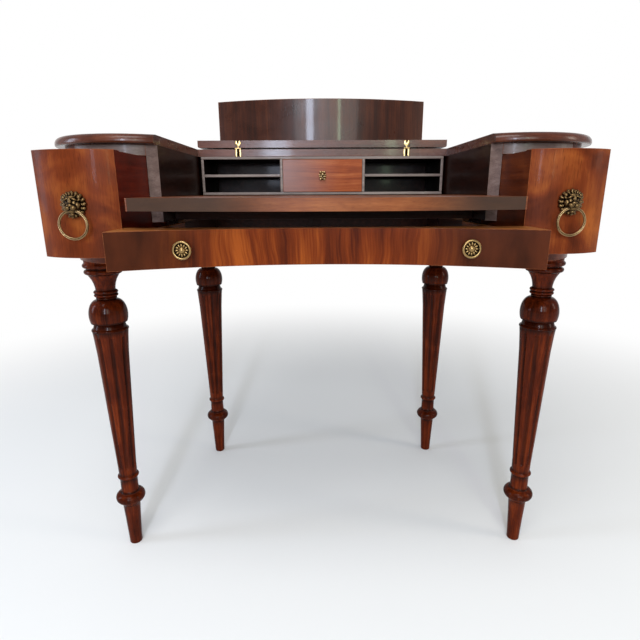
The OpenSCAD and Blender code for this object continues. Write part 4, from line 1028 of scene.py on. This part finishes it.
# the groove's depth in millimetres, its share of the bar's thickness, and how flat the bar is
GROOVE_DEPTH = 0.75
GROOVE_SHARE = 0.045
BAR_FLATTENED = 0.85
BEADS_RUBBED = 0.25
around, section = 96, 32
for side in ("left", "right"):
    low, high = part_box(side + "_ring")
    centre = (low + high) / 2
    points, hollow = [], []
    for i in range(around):
        a = 2 * math.pi * i / around
        out = Vector((math.cos(a), 0, math.sin(a)))
        for j in range(section):
            b = 2 * math.pi * j / section
            groove = math.exp(-((abs(math.sin(b)) - 1) / GROOVE_SHARE) ** 2)
            thick = (RING_BAR - GROOVE_DEPTH * groove) * MM
            points.append(centre + out * (RING_RADIUS + thick * math.cos(b))
                          + Vector((0, BAR_FLATTENED * thick * math.sin(b), 0)))
            hollow.append(groove - BEADS_RUBBED)
    faces = [(i * section + j, i * section + (j + 1) % section,
              (i + 1) % around * section + (j + 1) % section, (i + 1) % around * section + j)
             for i in range(around) for j in range(section)]
    work = bmesh.new()
    ring_mesh = bpy.data.meshes.new(side + "_grooved_ring")
    ring_mesh.from_pydata(points, [], faces)
    ring_mesh.attributes.new("hollow", "FLOAT", "POINT").data.foreach_set("value", hollow)
    work.from_mesh(ring_mesh)
    bmesh.ops.recalc_face_normals(work, faces=work.faces)
    work.to_mesh(ring_mesh)
    work.free()
    ring_mesh.shade_smooth()
    ring_mesh.materials.append(ring_brass)
    ring = link_mesh(side + "_grooved_ring", ring_mesh)
    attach(ring, side + "_ring")
    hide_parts(side + "_ring")

# Small pull. A cast brass rosette, an oval of leaves round a boss that two fingers can hold, fixed through
# the small drawer's front. Its leaves are rubbed pale, with brown dirt left between them.
PULL_MIDDLE = [((0, 0, 0), (8.2, 3.0, 10.4), 0), ((0, -5, 0), (2.6, 6, 2.6), 0),
               ((0, -10, 1.6), (4.6, 3.2, 3.8), 0), ((0, -11.6, 3.0), (2.6, 2.0, 2.2), 0)]
PULL_SIDE = [((3.6, -9.6, -2.6), (3.2, 2.8, 2.4), 35), ((4.4, -3.0, -7.6), (3.0, 2.0, 2.4), 40),
             ((4.4, -3.0, 7.6), (3.0, 2.0, 2.4), -40)]
PULL_GRAIN = 0.4 * MM
BACK_CUT = 0.05
LEAVES = 12
LEAF_REACH = 1.6 * MM
LEAF_RING = 7.0 * MM
LEAF_SIZE = (2.4 * MM, 1.8 * MM, 1.5 * MM)
low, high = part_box("small_pull")
centre = Vector(((low.x + high.x) / 2, high.y, (low.z + high.z) / 2))
pull = lumps("leafy_pull", PULL_MIDDLE + mirrored(PULL_SIDE), centre)
leaves = pull.modifiers.new("leaves", "NODES")
leaves.node_group = mask_tree
set_inputs(leaves, {"Petals": LEAVES, "Centre": centre + Vector((0, -LEAF_REACH, 0)),
                    "Ring Radius": LEAF_RING, "Petal Size": LEAF_SIZE, "Start": 0.26, "Lean": 0.3})
back_cut = bmesh.new()
bmesh.ops.create_cube(back_cut, size=BACK_CUT,
                      matrix=Matrix.Translation(centre + Vector((0, BACK_CUT / 2, 0))))
pull = melt(pull, PULL_GRAIN, [link_mesh("back_cut", built("back_cut", back_cut))])
pull_brass = brass("pale cast brass", "#b0966c", "#1a110a", 0.3, 0.36)
finish_casting(pull.data, pull_brass, spread=12, full=0.4, sharp=55)
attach(pull, "small_drawer")
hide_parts("small_pull")

# Small drawer. It sits among the pigeonholes, with a plain straight-grained front and thin oak sides. Its
# left half is painted pinkish grey as a highlight.
# Straight-grained mahogany: bright orange-brown at the right, painted pinkish grey at the left as a milky
# highlight, barely glossy.
small_wood = polished_wood("straight-grained mahogany front", "#722f17", "#964a26", "#b1663b", grain="X",
                           cut_from=(0.9, 1.1, 0.1), ribbon=7.0, cloud=0.3, roughness=0.34, gloss=0.06,
                           coat=0.02)
# painted highlight: pinkish grey towards the left
faded_across(small_wood, 0.05, -0.09, 0.7, "#8c7674")
eased_board("small_drawer_front", "small_front", "small_drawer", small_wood,
            easing=0.8 * MM, end_wood=pale_arris_wood)
for name, node in (("small_drawer_sides", "small_sides"), ("small_drawer_back", "small_back")):
    eased_board(name, node, "small_drawer", inside_wood)
